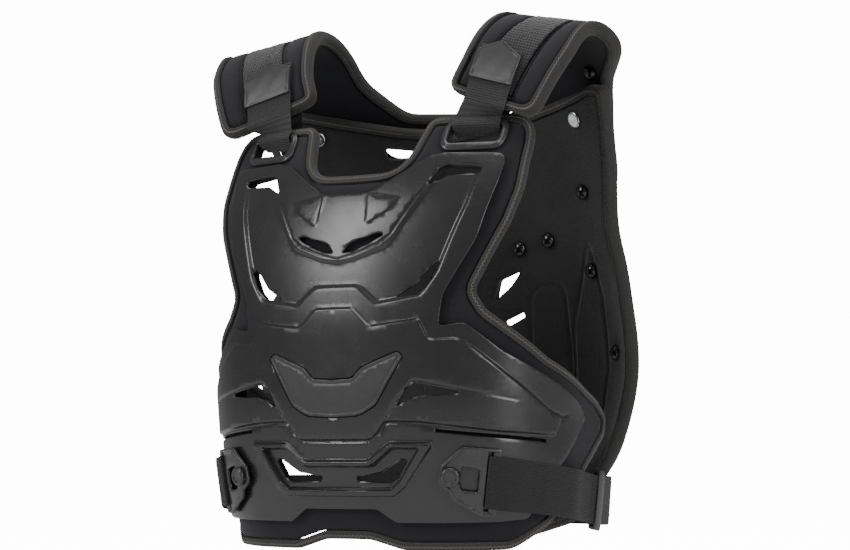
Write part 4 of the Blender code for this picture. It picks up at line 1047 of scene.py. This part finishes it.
webbingValues = {"labelRun": 0.800, "turn": 0.170, "ringToYoke": 0.030, "stand": 0.0149,
                 "legEnd": 1.090, "legStart": 1.130, "tuck": (0.86, 0.93, 1.0), "tabTop": -0.180,
                 "bend": 1.6, "run": (0, 0.12, 0.24, 0.36, 0.48, 0.60, 0.72, 0.84, 1.0)}


def webbingLine(side, rise):
    return side * (fitting["ringAt"][0] + webbingValues["turn"] * rise)


def makeWebbing(side, word):
    half, thick, gap = side * fitting["webbing"] / 2, fitting["webbingThick"], layers["gap"]
    ringUp = fitting["ringAt"][1]
    slotTop = ringUp + fitting["ringHeight"] / 2 - fitting["ringBar"]
    barTop = ringUp + fitting["ringHeight"] / 2
    turn = slotTop - webbingValues["bend"] * thick - gap
    behind = -(layers["frontPad"] + layers["tapeProud"] + layers["panelGap"] + thick / 2)
    before = ringFloor + fitting["ringThick"] + 2 * gap + thick / 2
    under = -(layers["tapeProud"] + layers["panelGap"] + thick / 2)
    edges = []

    def add(place, rise, up, proud):
        middle = webbingLine(side, rise)
        edges.append(place([middle + half, middle - half], up, proud))

    legEnd = archLength * webbingValues["legEnd"] - layers["tapeWidth"]
    for share in webbingValues["tuck"]:
        add(onYoke, webbingValues["ringToYoke"], legEnd * share, under)
    for up in (webbingValues["tabTop"] * torso["height"], barTop, turn + thick):
        add(onFront, 0, up, behind)
    for share in (0.3, 0.7):
        add(onFront, 0, turn, behind + (before - behind) * share)
    for up in (turn + thick, slotTop + fitting["ringBar"] / 2, barTop - gap):
        add(onFront, 0, up, before)
    start = archLength * webbingValues["legStart"]
    length = start - archLength * webbingValues["labelRun"]
    for share in webbingValues["run"]:
        climb = length * share
        add(onYoke, webbingValues["ringToYoke"] + climb, start - climb, webbingValues["stand"])
    addPiece("shoulderWebbing_" + word, strapGrid(edges, thick), "webbing", ["webbing_" + word])


labelValues = {"length": 0.034, "thick": 0.0015, "point": 0.006, "round": 0.002, "step": 0.003,
               "groove": 0.0005, "grooveAt": 0.0022, "facet": 0.0003, "facetPitch": 0.009}


def makeTip(side, word):
    end = archLength * webbingValues["labelRun"]
    climb = archLength * (webbingValues["legStart"] - webbingValues["labelRun"])
    middle = webbingLine(side, webbingValues["ringToYoke"] + climb)
    half, low = fitting["webbing"] / 2 + layers["gap"], end + labelValues["length"]
    point = labelValues["point"]
    lean = side * webbingValues["turn"] * (labelValues["length"] - point)
    corners = ((middle - half - lean, low), (middle + half - lean, low), (middle + half, end + point),
               (middle, end - point), (middle - half, end + point))
    outline = roundCorners([(x, y, labelValues["round"]) for x, y in corners])
    sheet = flatSheet(outline, [], [moved(outline, d) for d in (0.0005, 0.0018, 0.0022, 0.0028)],
                      labelValues["step"])
    floor = webbingValues["stand"] + fitting["webbingThick"] / 2 + 2 * layers["gap"]

    def outer(points):
        rim = loopDistance(points, outline)
        groove = 1 - np.clip(np.abs(rim - labelValues["grooveAt"]) / labelValues["groove"], 0, 1)
        along = (points[:, 0] * 0.9 + points[:, 1] * 0.5) / labelValues["facetPitch"]
        facets = labelValues["facet"] * np.abs((along % 2) - 1)
        top = floor + labelValues["thick"] - 0.0005 * (1 - crown(rim, 0.0006))
        return top - labelValues["groove"] * groove - facets * smooth(rim - 0.003, 0.001)

    made = wrapSheet(sheet, onYoke, level(floor), outer)
    addPiece("webbingEnd_" + word, made, "rubber", ["webbing_tip_" + word])


# The side straps: button, hook, elastic and slide
def hookFlat(side, along, up):
    tilt = fitting["hookTilt"]
    x = fitting["buttonAt"][0] + along * math.cos(tilt) - up * math.sin(tilt)
    y = fitting["buttonAt"][1] + along * math.sin(tilt) + up * math.cos(tilt)
    return side * x, y


def hookLoop(rows, side):
    size = fitting["elastic"]
    flat = roundCorners([(x * size, y * size, r * size) for x, y, r in rows])
    return np.stack(hookFlat(side, flat[:, 0], flat[:, 1]), 1)


hookValues = {"step": 0.003, "border": 0.0024, "sunk": 0.0009}


def makeHook(side, word):
    outline, holes = hookLoop(hookOutline, side), [hookLoop(hookKeyhole, side), hookLoop(hookSlot, side)]
    lines = [moved(outline, d) for d in (0.0004, 0.0012, 0.0024, 0.0032)]
    sheet = flatSheet(outline, holes, lines + [moved(loop, -0.0007) for loop in holes], hookValues["step"])

    def outer(points):
        rim = rimDistance(points, [outline] + holes)
        sunk = smooth(loopDistance(points, outline) - hookValues["border"], 0.0008)
        return hookTop - hookValues["sunk"] * (sunk + 1 - crown(rim, 0.0012))

    made = wrapSheet(sheet, onFront, level(hookFloor), outer)
    addPiece("hook_" + word, made, "fittings", ["strap_hook_" + word])


# front: how far across, and how proud as a share of the elastic's height at the hook
elasticValues = {"tuck": 0.016, "slot": 0.64 * 0.049,
                 "front": ((0.150, 1.00), (0.162, 1.00), (0.186, 0.65), (0.205, 0.60), (0.235, 0.60),
                           (0.255, 0.42), (0.275, 0.31), (0.295, 0.31)),
                 "back": (0.152, 0.137, 0.120, 0.102, 0.084)}
slideStand = elasticValues["front"][-1][1] * elasticOuter


def makeElastic(side, word):
    half, slot = fitting["elastic"] / 2, elasticValues["slot"]
    inner = beltTop + layers["panelGap"] + fitting["elasticThick"] / 2
    edges = []

    def addHooked(along, proud):
        upper, lower = hookFlat(side, along, half), hookFlat(side, along, -half)
        edges.append(onFront(*zip(upper, lower), proud))

    for share in (1, 0.5, 0):
        addHooked(slot + elasticValues["tuck"] * share, inner)
    addHooked(slot - layers["gap"], (inner + elasticOuter) / 2)
    addHooked(slot, elasticOuter)
    for across, share in elasticValues["front"]:
        addHooked((across - fitting["buttonAt"][0]) / math.cos(fitting["hookTilt"]), share * elasticOuter)
    height = (edges[-1][0][2] + edges[-1][1][2]) / 2
    stand = yokeForm["layer"] + layers["shell"] + layers["panelGap"] + fitting["elasticThick"]
    for across in elasticValues["back"]:
        edges.append(onBack(side * across, [height + half, height - half], stand))
    made = strapGrid(edges, fitting["elasticThick"], columns=14)
    addPiece("sideElastic_" + word, made, "elastic", ["elastic_strap_" + word])


def turnedPiece(name, profile, foot, axis, finish, nodes, steps=28):
    made = bmesh.new()
    corners = [made.verts.new((radius, 0, height)) for radius, height in profile]
    edges = [made.edges.new(pair) for pair in zip(corners, corners[1:])]
    bmesh.ops.spin(made, geom=corners + edges, cent=(0, 0, 0), axis=(0, 0, 1), angle=2 * math.pi,
                   steps=steps, use_merge=True)
    bmesh.ops.remove_doubles(made, verts=made.verts[:], dist=1e-6)
    turn = Vector((0, 0, 1)).rotation_difference(Vector(axis)).to_matrix().to_4x4()
    bmesh.ops.transform(made, matrix=Matrix.Translation(Vector(foot)) @ turn, verts=made.verts[:])
    addPiece(name, made, finish, nodes)


def stood(place, x, y, stand, sign=1):
    here, above = place([x], y, stand)[0], place([x], y, stand + 0.001)[0]
    return here, (above - here) * sign / np.linalg.norm(above - here)


def makeButton(side, word):
    radius, head = fitting["buttonRadius"], hookTop - beltTop + layers["gap"]
    top = head + fitting["buttonHead"]
    stem = [(0, 0), (0.7, 0), (0.7, 0.001), (0.4, 0.0014), (0.4, head), (0.94, head), (1, head + 0.0008)]
    below = [(1, 0.0018), (0.96, 0.0008), (0.86, 0.0001), (0.78, 0), (0.66, 0.0002), (0.58, 0.0010),
             (0.2, 0.0012), (0, 0.0012)]
    profile = [(radius * share, height) for share, height in stem + [(share, top - d) for share, d in below]]
    x, y = fitting["buttonAt"]
    foot, axis = stood(onFront, side * x, y, beltTop + layers["gap"])
    turnedPiece("button_" + word, profile, foot, axis, "fittings", ["strap_button_" + word])


slideValues = {"across": 0.290, "bar": 0.006, "square": 1.25, "wide": 0.3, "thin": 0.2}


def makeSlide(side, word):
    along = (slideValues["across"] - fitting["buttonAt"][0]) / math.cos(fitting["hookTilt"])
    half, thick = fitting["elastic"] / 2, fitting["elasticThick"] / 2
    gap, bar = layers["gap"], slideValues["bar"]
    # the bar's own rounded section, squared off, is run round the strap's section
    square, wide, thin = slideValues["square"], bar * slideValues["wide"], bar * slideValues["thin"]
    rings = [(along + bar * np.clip(square * math.cos(t), -1, 1), np.clip(square * math.sin(t), -1, 1))
             for t in np.linspace(0, 2 * math.pi, 13)]
    grid = []
    for t in np.linspace(0, 2 * math.pi, 49):
        c, s = math.cos(t), math.sin(t)
        up = (half + gap * 2 + wide) * np.sign(c) * abs(c)**0.12
        proud = slideStand + (thick + gap * 2 + thin) * np.sign(s) * abs(s)**0.25
        row = []
        for step, out in rings:
            x, y = hookFlat(side, step, up + out * wide * (abs(c) > 0.2) * np.sign(c))
            row.append((x, y, proud + out * thin * np.sign(s) * (abs(s) > 0.2)))
        grid.append(onFront(*np.array(row).T))
    made = wrapGrid(np.array(grid), closedAcross=True, closedAlong=True)
    addPiece("slide_" + word, made, "fittings", ["strap_slider_" + word])


rivetValues = {
    "silverAt": (0.620, 0.175), "silver": 0.008, "silverHeight": 0.0016,
    "dome": 0.008, "domeHeight": 0.006,
    "domesAt": ((0.600, 0.314), (0.241, 0.418), (0.388, 0.404), (0.608, 0.470), (0.765, 0.634)),
    "yokeAt": (0.790, 0.080),
}


def makeRivets(side, word):
    r, h = rivetValues["silver"], rivetValues["silverHeight"]
    across, drop = rivetValues["silverAt"]
    foot, axis = stood(onBack, side * across * reach["backPad"], -drop * torso["height"],
                       -layers["panelGap"], -1)
    profile = [(0, 0), (r * 0.97, 0), (r, 0.0004), (r, 0.0009), (r * 0.95, 0.0013), (r * 0.86, h),
               (r * 0.5, h), (r * 0.3, h - 0.0003), (0, h - 0.0004)]
    turnedPiece("steelRivet_" + word, profile, foot, axis, "silver", ["silver_rivet_" + word])
    r, h = rivetValues["dome"], rivetValues["domeHeight"]
    turns = np.linspace(0.18, math.pi / 2, 9)[:-1]
    dome = [(0, 0), (r, 0)] + [(r * math.cos(t), h * math.sin(t)) for t in turns] + [(0, h)]
    spots = [(onBack, side * a * reach["backPad"], -d * torso["height"], "dome_rivet_%d_" % i)
             for i, (a, d) in enumerate(rivetValues["domesAt"], 1)]
    across, run = rivetValues["yokeAt"]
    spots.append((onYoke, side * across * reach["yoke"], run * archLength, "yoke_rivet_"))
    for place, x, y, nodeName in spots:
        seat = -layers["panelGap"] - (layers["gap"] / 4 if place is onBack else 0)
        foot, axis = stood(place, x, y, seat, -1)
        turnedPiece("stud_" + nodeName + word, dome, foot, axis, "domes", [nodeName + word])


for side, word in sides:
    for make in (makeRing, makeWebbing, makeTip, makeHook, makeElastic, makeButton, makeSlide, makeRivets):
        make(side, word)
print("straps and fittings made")

# Floor, light and camera
studio = {"floor": -0.62, "distance": 2.390, "azimuth": math.radians(30), "elevation": math.radians(-2.5),
          "roll": math.radians(1.0), "sky": 0.30, "backdrop": 14.0, "target": (0, 0.025, -0.236),
          "lens": 101.6}

ground = bmesh.new()
bmesh.ops.create_grid(ground, x_segments=2, y_segments=2, size=12)
bmesh.ops.translate(ground, verts=ground.verts[:], vec=(0, 0, studio["floor"]))
floorMesh = bpy.data.meshes.new("studioFloor")
ground.to_mesh(floorMesh)
ground.free()
floor = linked(bpy.data.objects.new("studioFloor", floorMesh))
floorFinish, floorTree, floorShader = newFinish("pale floor", (0.96, 0.96, 0.96), 0.9)
floorMesh.materials.append(floorFinish)
# the floor is seen as white as the backdrop, but lights the piece only as a pale surface does
floorShader.inputs["Emission Color"].default_value = (1, 1, 1, 1)
cameraRay = node(floorTree, "ShaderNodeLightPath").outputs["Is Camera Ray"]
floorTree.links.new(maths(floorTree, "MULTIPLY", cameraRay, studio["backdrop"]),
                    floorShader.inputs["Emission Strength"])


def addLight(name, place, aim, wide, power, tall):
    light = bpy.data.lights.new(name, "AREA")
    light.energy, light.shape, light.size, light.size_y = power, "RECTANGLE", wide, tall
    lamp = linked(bpy.data.objects.new(name, light))
    lamp.location = place
    lamp.rotation_euler = (Vector(aim) - Vector(place)).to_track_quat("-Z", "Y").to_euler()


# place, aim, width, power and height
lights = {
    "keyLight": ((-1.5, -2.4, 1.2), (0, 0, -0.25), 1.0, 52, 1.6),
    "sideLight": ((2.4, -0.9, 0.5), (0, 0, -0.25), 0.7, 36, 1.6),
    "topLight": ((0.2, -0.2, 2.2), (0, 0, -0.2), 1.6, 40, 1.6),
}
for name, values in lights.items():
    addLight(name, *values)

world = bpy.data.worlds.new("studio")
bpy.context.scene.world = world
world.use_nodes = True
tree = world.node_tree
mix = tree.nodes.new("ShaderNodeMixShader")
tree.links.new(tree.nodes.new("ShaderNodeLightPath").outputs["Is Camera Ray"], mix.inputs[0])
for socket, background, strength in (
        (1, tree.nodes["Background"], studio["sky"]),
        (2, tree.nodes.new("ShaderNodeBackground"), studio["backdrop"])):
    background.inputs["Strength"].default_value = strength
    background.inputs["Color"].default_value = (1, 1, 1, 1)
    tree.links.new(background.outputs[0], mix.inputs[socket])
tree.links.new(mix.outputs[0], tree.nodes["World Output"].inputs["Surface"])

camera = bpy.data.cameras.new("studioCamera")
camera.lens, camera.sensor_width = studio["lens"], 36
viewer = linked(bpy.data.objects.new("studioCamera", camera))
bpy.context.scene.camera = viewer
a, e, target = studio["azimuth"], studio["elevation"], Vector(studio["target"])
away = Vector((math.sin(a) * math.cos(e), -math.cos(a) * math.cos(e), math.sin(e)))
right = Vector((math.cos(a), math.sin(a), 0))
up = right.cross(-away)
r = studio["roll"]
c, s = math.cos(r), math.sin(r)
turned = Matrix((right * c - up * s, right * s + up * c, away)).transposed()
viewer.matrix_world = Matrix.Translation(target + away * studio["distance"]) @ turned.to_4x4()
print("studio ready")
